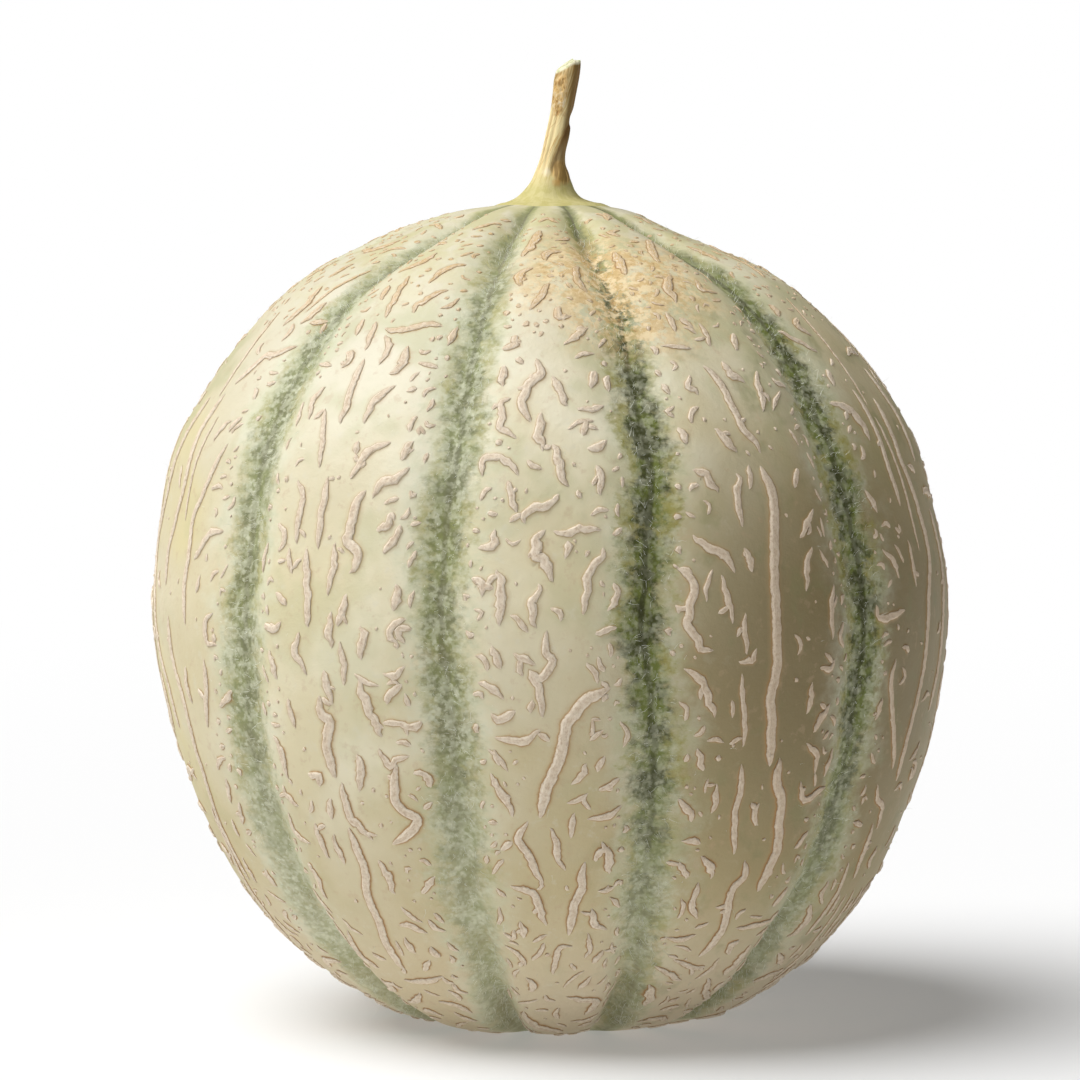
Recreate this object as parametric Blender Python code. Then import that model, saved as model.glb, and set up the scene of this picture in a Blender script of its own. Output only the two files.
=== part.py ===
"""A ribbed, netted cantaloupe melon with its dry stalk, as picked, standing on its blossom end.

Metres, +Z up. The origin is on the flat spot that the melon rests on, under the middle of the fruit, and
the viewer is on the -Y side. A place on the skin is given by its longitude, in degrees from -Y and
positive towards +X, and by its way, which is the distance along the fruit's outline from the edge of the
flat spot.
"""

import bisect
import math
import random

import bmesh
import bpy
from mathutils import Vector
from mathutils.geometry import delaunay_2d_cdt

MM = 0.001

# Driving dimensions of the fruit
FLAT_RADIUS = 0.0170
SEAT_RADIUS = 0.0088
FRUIT_RADIUS = 0.0709
FRUIT_HEIGHT = 0.1446
# The outline over the lobes' crests, from the flat spot's edge to the stalk's seat: (radius, height)
CREST = (
    (FLAT_RADIUS, 0.0),
    (0.0250, 0.0010),
    (0.0337, 0.0038),
    (0.0474, 0.0135),
    (0.0587, 0.0280),
    (0.0673, 0.0495),
    (FRUIT_RADIUS, 0.0710),
    (0.0693, 0.0880),
    (0.0636, 0.1068),
    (0.0476, 0.1283),
    (0.0310, 0.1384),
    (0.0180, 0.1430),
    (SEAT_RADIUS, FRUIT_HEIGHT),
)
OUTLINE_STEPS = 24
WIDEST_HEIGHT = 0.0720
AXIS_LEAN = -0.0165
END_OFFSET = 0.0014

# Longitudes of the green furrows between the lobes; the middle four of the front follow the photograph
FURROWS = (-91.0, -47.6, -14.1, 14.6, 47.5, 90.0, 126.0, 161.0, 197.0, 233.0)
FURROW_WANDER = 0.7
# The lobing, the furrow's own valley and half the valley's width: (share of the way, metres)
LOBE_DEPTH = ((0.0, 0.0), (0.06, 0.0011), (0.20, 0.0015), (0.45, 0.0011), (0.75, 0.0011), (0.92, 0.0013), (1.0, 0.0))
VALLEY_DEPTH = (
    (0.0, 0.0),
    (0.04, 0.0012),
    (0.10, 0.0026),
    (0.17, 0.0019),
    (0.28, 0.0009),
    (0.75, 0.0008),
    (0.93, 0.0012),
    (1.0, 0.0),
)
VALLEY_WIDTH = ((0.0, 0.0012), (0.10, 0.0021), (0.28, 0.0048), (0.75, 0.0050), (0.92, 0.0030), (1.0, 0.0010))
LOBE_ROUNDNESS = 3.0
# Slow swells of the skin round the fruit: (height, waves in a turn, phase in degrees)
SWELLS = ((0.00045, 2, 40.0), (0.00030, 3, 115.0), (0.00020, 5, 20.0))
SWELL_TWIST = 9.0
# The flatter left side and right shoulder: longitude, half the spread in degrees, (share of the way, metres)
FLATS = (
    (-90.0, 50.0, ((0.0, 0.0), (0.14, 0.0009), (0.30, 0.0012), (0.52, 0.0012), (0.66, 0.0003), (0.90, 0.0004), (1.0, 0.0))),
    (88.0, 52.0, ((0.68, 0.0), (0.82, 0.0012), (0.93, 0.0024), (1.0, 0.0012))),
)
END_FADE = 0.020

# The raised net: corky cracks that lie within the lobes. Those of the front, read by eye from the
# photograph, are lobe by lobe: width in millimetres, then (longitude, way in millimetres) along the middle
READ_CRACKS = {
    0: (
        (1.2, (-57, 132), (-59, 126), (-60.5, 121.7), (-62, 118), (-61.5, 112), (-61.8, 107), (-61.2, 99.5)),
        (1.3, (-66.5, 141), (-67.5, 133), (-67, 124), (-68.5, 117.5), (-70, 111), (-69.5, 105.5)),
        (1.3, (-68, 101), (-67.5, 93.5), (-65.5, 86.5), (-65, 80), (-65, 73), (-66, 65), (-66, 58), (-65, 52)),
        (1.3, (-72, 140), (-74, 131), (-76, 121), (-79, 112), (-77, 104), (-75, 95.5), (-73, 89), (-71, 80)),
        (1.3, (-53.2, 116.6), (-56.5, 116), (-58.3, 113.5), (-60, 110.8)),
        (1.2, (-57.5, 109), (-58.3, 105.4)),
        (1.2, (-53.6, 102.5), (-55.5, 101), (-55.2, 97.5), (-52.8, 97)),
        (1.3, (-56.5, 94.6), (-56.5, 90), (-57.5, 86.5), (-58.4, 82)),
        (1.2, (-57, 73.5), (-58, 68)),
        (1.2, (-55.5, 69), (-56.7, 64.5)),
        (1.1, (-63, 57.5), (-62, 52)),
        (1.3, (-56.5, 56), (-55, 52)),
        (1.4, (-53.5, 152.3), (-58, 149.5)),
        (1.1, (-60, 149.5), (-62.5, 146), (-65, 142.8)),
        (1.3, (-56.5, 137), (-58.3, 133.6)),
        (1.2, (-50.8, 158.5), (-55.5, 157)),
    ),
    1: (
        (1.7, (-20.2, 129), (-22.2, 127), (-24.8, 125.5), (-25.3, 123.5)),
        (1.8, (-26.4, 125.2), (-28, 122.4), (-28.6, 117.5), (-29, 116.2), (-27.2, 114.5), (-27.3, 112), (-28.4, 110.8)),
        (1.4, (-33.3, 127.2), (-33.4, 123.5), (-33.6, 119.5), (-33.5, 114.6)),
        (1.3, (-39, 126.5), (-37.2, 123.3), (-37.5, 119.4), (-37.4, 115.3)),
        (1.3, (-30.8, 116), (-30.6, 112.5), (-31.6, 106.7)),
        (1.1, (-39, 114.8), (-37.7, 110)),
        (1.5, (-35.7, 115), (-35, 109.5), (-34.6, 105.6), (-34.5, 101.2)),
        (1.6, (-28.4, 107.5), (-28.8, 105.3), (-29.6, 102)),
        (1.4, (-30.8, 104.7), (-31, 102), (-30.7, 98.2)),
        (1.5, (-26.2, 102.6), (-25.8, 100.3), (-26.3, 96.4)),
        (1.6, (-21.2, 109.7), (-20.8, 107.5), (-21.5, 104.8)),
        (1.3, (-19.4, 103.7), (-21.4, 102.6), (-21.9, 100.7), (-20.6, 99.4)),
        (1.2, (-29.4, 99.8), (-28.8, 95.4), (-29, 92)),
        (1.4, (-35.8, 101), (-36.8, 97.2), (-34.8, 93.4)),
        (1.3, (-42, 97.2), (-40.6, 92)),
        (1.6, (-32, 94.6), (-31.6, 91.3), (-31.2, 88.7)),
        (1.7, (-26.8, 93.7), (-26, 89.8), (-24.8, 86.5), (-23.9, 83)),
        (1.2, (-23.3, 94.4), (-21.6, 93.8), (-19.8, 95.6)),
        (1.5, (-20.4, 92.5), (-22.4, 91), (-23, 88.7)),
        (1.9, (-33.2, 90.4), (-33, 86.8), (-31.8, 86), (-32.8, 82), (-32.7, 78.3), (-32.3, 75.5)),
        (1.2, (-39, 89.4), (-38, 84)),
        (1.5, (-22.4, 121.6), (-22.8, 119.2), (-24.8, 118)),
        (1.6, (-21, 119.6), (-21.3, 117.2), (-23.3, 114.5)),
        (1.3, (-41.7, 118.7), (-40.2, 117.3), (-39.8, 115.4), (-41.2, 114)),
        (1.2, (-40.6, 106.9), (-38.2, 105)),
        (1.5, (-31.5, 75.3), (-31.3, 72.3), (-31, 69.2), (-29.7, 67.3), (-28, 64.6)),
        (1.6, (-31.8, 67), (-31.3, 63.5), (-30.7, 59), (-31.8, 54), (-31.5, 49), (-32, 43), (-31.6, 36.5)),
        (1.3, (-24.9, 81.5), (-23.2, 78.6), (-22, 80), (-20.1, 80.4)),
        (1.7, (-22.2, 79), (-22.8, 76), (-22.9, 71.5), (-20.3, 69), (-21.7, 66.5), (-25, 64)),
        (1.7, (-28.3, 80.6), (-27.7, 78.3), (-28.8, 73.5)),
        (1.4, (-43.3, 82.5), (-41.8, 80), (-41.7, 77), (-41.3, 74.6)),
        (1.2, (-43.5, 73.7), (-42.8, 71.5), (-40.4, 69.8)),
        (1.2, (-44, 68.3), (-43.9, 65), (-42, 63.5), (-40.3, 62.8)),
        (1.2, (-35, 65.5), (-34.4, 59.3)),
        (1.3, (-43.3, 59), (-41.9, 56.3), (-41.6, 51.3)),
        (1.5, (-28, 61.5), (-27.1, 58.5), (-26.6, 54)),
        (1.2, (-18.9, 58.3), (-22, 54.6)),
        (1.3, (-27.5, 45.5), (-27, 41)),
        (1.5, (-23, 43.5), (-22.5, 40)),
        (1.1, (-23.7, 86), (-20, 86)),
        (1.2, (-46, 44.5), (-42.7, 42.5)),
        (1.5, (-20.3, 173), (-24.5, 171.5), (-26, 169.5), (-27, 166.3)),
        (1.4, (-21.3, 165), (-23.5, 164), (-25.5, 162), (-27.2, 161.3), (-27, 159)),
        (1.2, (-34, 169.5), (-33.5, 163.7), (-33, 157.8)),
        (1.3, (-32.5, 155.6), (-28.5, 155.4), (-25.8, 156), (-22.5, 157), (-19.8, 156.4)),
        (1.7, (-25.5, 152.4), (-25.2, 149), (-26.2, 147), (-27.9, 146.3)),
        (1.4, (-25, 144.3), (-26.9, 143), (-28.8, 139.8), (-29, 136.6)),
        (1.4, (-33.5, 149.7), (-33.8, 145), (-33.4, 139.8), (-33.6, 136.2)),
        (1.2, (-34.8, 157.5), (-34.2, 153.3), (-34.2, 150.8)),
        (1.2, (-38.5, 158.2), (-38, 154)),
        (1.4, (-39.5, 144), (-41, 141.5), (-40.3, 137)),
        (1.1, (-37.7, 139.7), (-35.9, 133.5), (-35.2, 128)),
        (1.5, (-23.6, 133.5), (-26.9, 131.8), (-28.7, 128.6), (-29.4, 126.4)),
        (1.6, (-20, 134), (-21.2, 132), (-21.8, 130)),
        (1.2, (-38, 166.8), (-36.7, 162)),
        (1.4, (-29.5, 133.8), (-29.3, 130.8)),
    ),
    2: (
        (1.3, (-9.2, 127.4), (-9.2, 130.6), (-7, 130.8), (-5, 129.3), (-3.8, 127.5)),
        (1.4, (-5.6, 126.8), (-4.8, 124.4), (-4.1, 121.3)),
        (1.6, (1.8, 124.6), (0.9, 123), (-1, 122.4), (-3, 121.3), (-3.1, 119.6)),
        (1.9, (-0.2, 118.6), (-1.6, 117.2), (-1.4, 114.4), (-0.2, 112.5), (0.8, 110.2)),
        (1.3, (0.6, 118.5), (2.8, 118.3), (5.2, 118.8), (7.5, 118.5)),
        (1.5, (2.9, 117), (2.5, 114)),
        (1.4, (7.8, 116), (7.4, 114.2), (5.6, 111.6), (5.2, 108.4), (4.6, 104.5)),
        (1.7, (-6.7, 112.5), (-6.3, 109.4), (-6.3, 106.7), (-6.6, 102.5)),
        (1.2, (-9.7, 109.6), (-7.2, 108.8)),
        (1.5, (-1.2, 110), (-1.4, 107.8), (-2.3, 106.2), (-1.6, 102.5)),
        (1.0, (-5.2, 104.8), (-3.6, 103.4), (-2.6, 101.6)),
        (1.1, (6, 101.2), (7.7, 102.3), (9.3, 102.6)),
        (1.4, (-0.2, 102.3), (-0.4, 98.6), (0.5, 97.3), (0, 95.7), (-1.2, 94.2)),
        (1.5, (-2.4, 95), (-1.4, 92.4), (-0.9, 87.3)),
        (1.5, (-7.7, 99.8), (-7.1, 97.3), (-6.4, 95.6)),
        (1.2, (-4, 97.5), (-3.7, 94.8)),
        (1.1, (4.9, 96.8), (6.1, 95), (6.6, 93.2)),
        (1.9, (8.3, 92.6), (4.6, 90.3), (3.2, 88), (2.1, 86), (1.6, 82.2), (0.4, 78.2), (-0.7, 75), (-1.8, 69.6)),
        (1.5, (-8.4, 88), (-6.7, 87.2), (-4.5, 88.8)),
        (1.3, (-9.9, 93.4), (-7.7, 92), (-6.2, 90.3)),
        (1.4, (-8.6, 78), (-7.9, 75.3), (-6.5, 72.6), (-5.6, 69.6)),
        (1.2, (-7.9, 82), (-7.4, 79)),
        (1.4, (-3.5, 69.3), (-5.1, 65.9), (-3.9, 63), (-2.9, 60), (-1.6, 57)),
        (1.2, (-5.9, 65.6), (-7.9, 63.5)),
        (1.4, (-7.2, 56.6), (-5, 56.2), (-3, 54.8), (-2.4, 51.8), (-1.6, 48.2)),
        (1.2, (-0.6, 68), (0.6, 65.2), (0.9, 61.8), (1.8, 59.6)),
        (1.1, (3.3, 71), (2.7, 68), (2.6, 65.8)),
        (1.5, (4.9, 61.8), (4.3, 58.8), (4.5, 56.5), (3.3, 53), (2.3, 46)),
        (1.0, (6.9, 55.5), (10, 55.7)),
        (1.1, (6.3, 77.9), (7.5, 81)),
        (1.1, (6.6, 74.6), (9.7, 76.7)),
        (1.0, (2, 72.6), (3.6, 72.9), (5.4, 74.6)),
        (1.2, (5, 69.5), (8, 69.8), (10.2, 71.6)),
        (1.2, (6.4, 61.2), (7, 63.4), (8.8, 64.2)),
        (1.2, (-6.2, 49.5), (-5.4, 47.5), (-5.7, 45.3)),
        (1.1, (3.3, 43.4), (0.8, 43.6), (0, 40.5), (-1, 36)),
        (1.1, (-9.7, 43), (-7, 41.7), (-5.8, 38.5)),
        (1.1, (6.6, 38.6), (9, 42)),
        (1.0, (4, 31.5), (7.2, 35.6)),
        (1.0, (5.2, 83.5), (7.3, 85.6)),
        (1.6, (-1.8, 149.6), (-0.8, 146.4), (-2.9, 144), (-3.6, 140), (-2.1, 137)),
        (1.5, (0.6, 146), (2.4, 143.4), (3.3, 140)),
        (1.6, (-0.6, 139), (-1.1, 135.4), (-0.4, 131.6)),
        (1.6, (0.9, 133.5), (1.5, 131), (2.2, 128.3), (3.3, 125.8)),
        (1.6, (-7.3, 148.4), (-7, 143.8)),
        (1.3, (-5.2, 141.8), (-7, 141), (-6.8, 137.9)),
        (1.5, (-6.9, 136.4), (-4.2, 134)),
        (1.2, (5.3, 155.4), (7.8, 156)),
        (1.5, (8.2, 147.2), (7.2, 143.5)),
        (1.1, (4.6, 139.9), (7, 139.6), (9.4, 140.6)),
        (1.3, (6.1, 137.4), (5.5, 134.6)),
        (1.4, (5.8, 132.2), (7.6, 132.4), (9.2, 134)),
        (1.4, (7.2, 129.6), (7.7, 127), (7.6, 124)),
    ),
    3: (
        (1.6, (21.4, 128.6), (23.3, 127.6), (24.7, 124.4)),
        (1.4, (28.2, 127.8), (28.6, 126), (27.8, 123.8), (28, 118.3)),
        (1.9, (32.6, 129), (33.5, 125.5), (33.7, 122), (33, 116), (32.2, 108.7), (32.1, 102), (32.2, 95.4)),
        (1.9, (31.9, 93.4), (31.4, 90), (31.8, 86), (32, 82), (32.4, 77.8)),
        (1.9, (33.9, 79.5), (33.9, 75), (35.3, 72), (35.8, 67.8), (36.6, 62.7), (36, 59), (35.1, 53.8)),
        (1.4, (27.7, 148.2), (29.7, 144.6), (30.7, 139.5), (31.4, 135.6), (32.7, 133.3), (33.4, 131)),
        (1.6, (20.4, 117.8), (21.6, 116), (24, 114.6), (25.4, 112.8), (26.2, 111)),
        (1.5, (17.8, 112.5), (19.5, 110.7), (20.2, 108.5), (19.4, 106.3), (19.2, 104.2)),
        (1.2, (18.8, 102.8), (20.2, 100.3), (20.6, 98.8), (22.6, 98.4)),
        (1.2, (24, 111), (24.7, 107.2), (25.5, 102.4)),
        (1.1, (27.2, 104.4), (27, 101.5), (27.5, 97.4)),
        (1.0, (26.8, 94.6), (26.7, 92), (27.2, 88.7), (27.6, 84), (27.5, 81.5)),
        (1.2, (27.6, 79), (28, 74), (27.7, 69), (28.8, 61.8)),
        (1.4, (18.3, 95.5), (20, 94.4), (21, 92.8), (22, 89.9), (23, 86.8)),
        (1.3, (39.8, 115), (38.3, 112), (37.6, 107.2)),
        (1.4, (41.2, 121), (39.3, 118.7), (37.6, 116)),
        (1.2, (39.7, 128.4), (38, 124.6)),
        (1.1, (39.7, 94.4), (42, 94), (43, 95.4)),
        (1.5, (42.6, 88), (40.6, 85.5), (39.3, 82.8)),
        (1.5, (31.1, 61), (31.5, 57.5), (30, 55.2), (30.2, 51), (30.7, 47), (30, 43), (28.3, 39.3)),
        (1.4, (18.4, 72.5), (20.2, 71), (21, 68.5)),
        (1.3, (20.7, 82), (21.8, 77.5)),
        (1.2, (19.7, 65), (23, 64.4)),
        (1.5, (23.1, 62), (25, 59.8), (25.7, 57)),
        (1.2, (20, 61), (21.7, 57.4)),
        (1.3, (23.7, 57), (23.4, 52), (25.2, 48.9)),
        (1.2, (20.3, 44.6), (22.8, 44.2), (26, 45.2)),
        (1.2, (33.3, 46.2), (38, 46.5), (43, 47)),
        (1.2, (23, 39), (28.5, 36.6), (31.5, 36.8)),
        (1.3, (38.5, 75), (39.5, 71.6)),
        (1.3, (40.6, 71), (43.5, 72.5), (45.2, 72.8)),
        (1.3, (38.4, 81.8), (40.9, 79), (41.3, 75.6)),
        (1.2, (40.3, 61.8), (43, 65)),
        (1.2, (42.6, 54), (40, 50)),
        (1.1, (30.9, 157.5), (31.1, 154.3), (31, 151.6)),
        (1.1, (24.6, 160), (25.3, 155)),
        (1.0, (26.8, 158.6), (29.3, 156)),
        (1.6, (26.3, 136), (27.8, 133.5), (29.2, 131.3)),
        (1.4, (38.6, 147), (37.5, 144.2), (37, 141), (36.3, 138.3)),
        (1.3, (37.5, 155), (36.2, 151)),
        (1.2, (37, 168.5), (36.3, 165), (41, 164.5)),
        (1.2, (24.6, 146.4), (24, 144), (25.4, 142)),
        (1.3, (20.5, 136.4), (21.3, 132.8)),
    ),
    4: (
        (1.4, (67, 140), (66.5, 132), (66.3, 127), (68, 121), (69.6, 114.5), (69.6, 110), (67.2, 104), (66.5, 97.5)),
        (1.4, (66.4, 95.6), (66, 90), (64.5, 83), (63.7, 77), (64.3, 71.5)),
        (1.3, (73, 146), (74, 136), (73.4, 127)),
        (1.3, (75, 119), (76.5, 110), (74.5, 101), (74, 92), (72.5, 83)),
        (1.2, (60.8, 142), (61.5, 137), (61.5, 132.5), (61, 128), (61.4, 124.6), (62.2, 120)),
        (1.2, (55, 113.4), (57, 111.4), (58.4, 108)),
        (1.3, (52.4, 104.2), (53, 101.7), (57, 102), (59.3, 102.6)),
        (1.1, (62.5, 114.6), (63, 106)),
        (1.2, (57, 94.5), (56, 91), (57.3, 85.5), (58.9, 81), (60.6, 76.5), (61.3, 74)),
        (1.2, (57.5, 72), (59, 69), (61.6, 67), (62.6, 62.5)),
        (1.2, (60.4, 64.5), (60.6, 59), (61.4, 53)),
        (1.1, (54, 65), (57, 64.3)),
        (1.3, (56.6, 146.4), (56, 142.6)),
        (1.2, (51.4, 156), (54, 153), (58, 150)),
        (1.2, (53.5, 124), (55.4, 119.5)),
        (1.2, (54.5, 88), (53.6, 83.5)),
    ),
}
CRACK_HEIGHT = 0.0009
CRACK_WIDENING = 1.3
CRACK_GAP = 0.0007
LEAST_CRACK = 0.0034
BLOSSOM_MARGIN = 0.0100
STALK_MARGIN = 0.0080
FURROW_SHARE = 0.75

# The drawn cracks, which fill the rest: (how many in a lobe of the front, how many in a lobe of the
# back, least length, most length, least width, most width, spread of the tilt, spread of the bend)
CRACK_KINDS = (
    (0, 4, 0.022, 0.055, 0.0013, 0.0018, 5.0, 9.0),
    (10, 32, 0.0065, 0.0130, 0.0012, 0.0017, 20.0, 42.0),
    (12, 24, 0.0045, 0.0065, 0.0012, 0.0016, 60.0, 60.0),
)
CRACK_TRIES = 40
CRACK_STEP = 0.0050
LONG_STEP = 0.0095
NET_SEED = 41
# Low on the fruit the cracks turn from upright to level: (way, spread of the tilt in degrees)
LOW_WAY = 0.040
LOW_TILT = 70.0

# Spacing of the plain skin's points
ROW_STEP = 0.0078
POINT_STEP = 0.0085
VALLEY_LINE = 0.0032
CRACK_CLEARANCE = 0.0012

# The stalk, whose foot flares onto the fruit's seat and whose top is cut across at a slant
STALK_GAP = 0.0003
STALK_RIGHT = 0.0004
# Height over the seat, radius, and how far the middle stands to +X and to -Y of the foot's middle
STALK_RINGS = (
    (0.0000, 0.0085, 0.0000, 0.0000),
    (0.0004, 0.0080, 0.0000, 0.0000),
    (0.0011, 0.0061, -0.0003, 0.0000),
    (0.0024, 0.0046, -0.0002, 0.0000),
    (0.0040, 0.0036, 0.0000, 0.0001),
    (0.0055, 0.0029, 0.0001, 0.0002),
    (0.0072, 0.0024, 0.0002, 0.0003),
    (0.0092, 0.0021, 0.0005, 0.0004),
    (0.0120, 0.0021, 0.0011, 0.0005),
    (0.0160, 0.0020, 0.0018, 0.0004),
    (0.0200, 0.0021, 0.0024, 0.0001),
    (0.0230, 0.0023, 0.0028, -0.0002),
    (0.0248, 0.0021, 0.0031, -0.0004),
)
STALK_SIDES = 25
STALK_RIBS = 5
STALK_RIB_DEPTH = 0.20
STALK_TWIST = 150.0
STALK_CUT_RISE = 0.42

SKIN_COLOUR = (0.66, 0.61, 0.43, 1.0)
STALK_COLOUR = (0.60, 0.45, 0.22, 1.0)


def smoothstep(low, high, value):
    """0 below low, 1 above high, and a smooth rise between."""
    share = min(1.0, max(0.0, (value - low) / (high - low)))
    return share * share * (3.0 - 2.0 * share)


def read_curve(knots, place):
    """A smooth value at a place between 0 and 1, from a list of (place, value)."""
    for (left, low), (right, high) in zip(knots, knots[1:]):
        if place <= right:
            return low + (high - low) * smoothstep(left, right, place)
    return knots[-1][1]


def spline(p0, p1, p2, p3, t):
    """A number on the smooth curve from p1 to p2, whose neighbours are p0 and p3."""
    return 0.5 * (2 * p1 + (p2 - p0) * t + (2 * p0 - 5 * p1 + 4 * p2 - p3) * t**2 + (3 * p1 - p0 - 3 * p2 + p3) * t**3)


def crest_outline():
    """The outline as (way, radius, height) rows on a smooth curve through CREST."""
    first = tuple(2 * a - b for a, b in zip(CREST[0], CREST[1]))
    last = tuple(2 * a - b for a, b in zip(CREST[-1], CREST[-2]))
    knots = [first, *CREST, last]
    points = []
    for corners in zip(knots, knots[1:], knots[2:], knots[3:]):
        for step in range(OUTLINE_STEPS):
            points.append(tuple(spline(*numbers, step / OUTLINE_STEPS) for numbers in zip(*corners)))
    points.append(CREST[-1])
    rows = [(0.0, *points[0])]
    for before, after in zip(points, points[1:]):
        rows.append((rows[-1][0] + math.dist(before, after), *after))
    return rows


OUTLINE = crest_outline()
WAYS = [row[0] for row in OUTLINE]
WHOLE_WAY = WAYS[-1]


def outline_at(way):
    """Radius, height, and the outward and upward parts of the normal on the crest outline."""
    index = min(max(bisect.bisect_right(WAYS, way), 1), len(OUTLINE) - 1)
    (w0, r0, z0), (w1, r1, z1) = OUTLINE[index - 1], OUTLINE[index]
    share = (way - w0) / (w1 - w0)
    step = math.hypot(r1 - r0, z1 - z0)
    return r0 + (r1 - r0) * share, z0 + (z1 - z0) * share, (z1 - z0) / step, (r0 - r1) / step


def end_fade(way):
    """1 over the body of the fruit, fading to 0 at the flat spot and at the seat."""
    return smoothstep(0.0, END_FADE, way) * smoothstep(0.0, END_FADE, WHOLE_WAY - way)


def furrow_longitude(index, way):
    """A furrow's longitude at a way: it wanders a little either side of its meridian."""
    turns, index = divmod(index, len(FURROWS))
    wave = math.sin(55.0 * way + 2.4 * index) + 0.4 * math.sin(140.0 * way + 1.3 * index)
    return FURROWS[index] + 360.0 * turns + FURROW_WANDER * wave * end_fade(way)


def lobe_sides(lobe, way):
    """Longitudes of the furrows on either side of a lobe."""
    return furrow_longitude(lobe, way), furrow_longitude(lobe + 1, way)


def sink(lobe, longitude, way):
    """How far the skin lies under the crest outline, from the lobing and from the furrow's valley."""
    left, right = lobe_sides(lobe, way)
    share = (longitude - left) / (right - left)
    from_furrow = min(share, 1.0 - share) * math.radians(right - left) * outline_at(way)[0]
    place = way / WHOLE_WAY
    lobing = read_curve(LOBE_DEPTH, place) * abs(2.0 * share - 1.0) ** LOBE_ROUNDNESS
    valley = read_curve(VALLEY_DEPTH, place) * math.exp(-((from_furrow / read_curve(VALLEY_WIDTH, place)) ** 2))
    return lobing + valley


def swell(longitude, way):
    """The slow unevenness of the skin round the fruit."""
    stand = sum(h * math.cos(math.radians(n * longitude + phase) + SWELL_TWIST * n * way) for h, n, phase in SWELLS)
    for middle, spread, depth in FLATS:
        turned = (longitude - middle + 180.0) % 360.0 - 180.0
        stand -= read_curve(depth, way / WHOLE_WAY) * math.exp(-((turned / spread) ** 2))
    return end_fade(way) * stand


def skin_point(lobe, longitude, way, rise=0.0):
    """A point of the skin, or one that stands above it by rise along the outline's normal."""
    radius, height, outward, upward = outline_at(way)
    stand = rise + swell(longitude, way) - sink(lobe, longitude, way)
    radius += outward * stand
    height += upward * stand
    middle = AXIS_LEAN * (height - WIDEST_HEIGHT) + END_OFFSET * (1.0 - radius / FRUIT_RADIUS)
    angle = math.radians(longitude)
    return middle + radius * math.sin(angle), -radius * math.cos(angle), max(height, 0.0)


def flatten(lobe, longitude, way):
    """The place on a lobe's flat map, where distances are nearly true."""
    left, right = lobe_sides(lobe, way)
    return math.radians(longitude - (left + right) / 2) * outline_at(way)[0], way


def unflatten(lobe, across, way):
    """The longitude of a place on a lobe's flat map."""
    left, right = lobe_sides(lobe, way)
    return (left + right) / 2 + math.degrees(across / outline_at(way)[0])


def half_width(lobe, way):
    """Half of a lobe's width on its flat map."""
    left, right = lobe_sides(lobe, way)
    return math.radians(right - left) / 2 * outline_at(way)[0]


def dense(points):
    """A line's points and the middles between them."""
    found = [points[0]]
    for before, after in zip(points, points[1:]):
        found.append(tuple((a + b) / 2 for a, b in zip(before, after)))
        found.append(after)
    return found


def is_clear(spot, width, lobe, placed):
    """Whether a spot of a crack is inside its lobe and clear of the cracks that are already there."""
    x, y = spot
    if not BLOSSOM_MARGIN < y < WHOLE_WAY - STALK_MARGIN:
        return False
    if abs(x) > half_width(lobe, y) - FURROW_SHARE * read_curve(VALLEY_WIDTH, y / WHOLE_WAY) - width / 2:
        return False
    return all(
        math.dist(spot, other) > (width + other_width) / 2 + CRACK_GAP
        for line, other_width in placed
        for other in line
    )


def run_length(points):
    """The length of a line."""
    return sum(math.dist(before, after) for before, after in zip(points, points[1:]))


def add_clear_part(points, width, lobe, placed):
    """Keeps a crack if it is clear of the others, or else the stretch of it that is; says if any is left."""
    kept = list(points)
    while len(kept) > 1 and not is_clear(kept[0], width, lobe, placed):
        kept.pop(0)
    while len(kept) > 1 and not is_clear(kept[-1], width, lobe, placed):
        kept.pop()
    fine = dense(dense(kept)) if len(kept) > 1 else []
    if len(kept) < 3 or run_length(kept) < LEAST_CRACK:
        return False
    if not all(is_clear(spot, width, lobe, placed) for spot in fine):
        return False
    placed.append((dense(fine), width))
    return kept


def read_cracks(lobe, placed):
    """The cracks of a lobe that were read from the photograph."""
    found = []
    for width, *spots in READ_CRACKS.get(lobe, ()):
        points = [flatten(lobe, longitude, way * MM) for longitude, way in spots]
        if len(points) < 4:
            points = dense(points)
        width *= MM * CRACK_WIDENING
        kept = add_clear_part(points, width, lobe, placed)
        if kept:
            found.append((kept, width))
    return found


def wander(start, length, tilt, bend, draw):
    """A drawn crack's middle line, which turns a little at each step."""
    step = LONG_STEP if length > 2 * LONG_STEP else CRACK_STEP
    steps = max(2, round(length / step))
    heading = math.radians(tilt)
    points = [start]
    for _ in range(steps):
        heading += math.radians(draw.gauss(0.0, bend)) * (1.0 if length < 2 * LONG_STEP else 0.6)
        x, y = points[-1]
        points.append((x + math.sin(heading) * length / steps, y + math.cos(heading) * length / steps))
    return points


def drawn_cracks(lobe, placed):
    """Seeded draws that fill the rest of a lobe, longest first."""
    draw = random.Random(NET_SEED + lobe)
    found = []
    for front, back, least, most, thin, wide, tilt, bend in CRACK_KINDS:
        for _ in range(front if lobe in READ_CRACKS else back):
            for _ in range(CRACK_TRIES):
                length = draw.uniform(least, most)
                width = draw.uniform(thin, wide) * CRACK_WIDENING
                way = draw.uniform(BLOSSOM_MARGIN, WHOLE_WAY - STALK_MARGIN)
                across = draw.uniform(-1.0, 1.0) * half_width(lobe, way)
                spread = tilt + (LOW_TILT - tilt) * smoothstep(LOW_WAY, LOW_WAY / 2, way)
                points = wander((across, way), length, draw.gauss(0.0, spread), bend, draw)
                if add_clear_part(points, width, lobe, placed) == points:
                    found.append((points, width))
                    break
    return found


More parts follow.
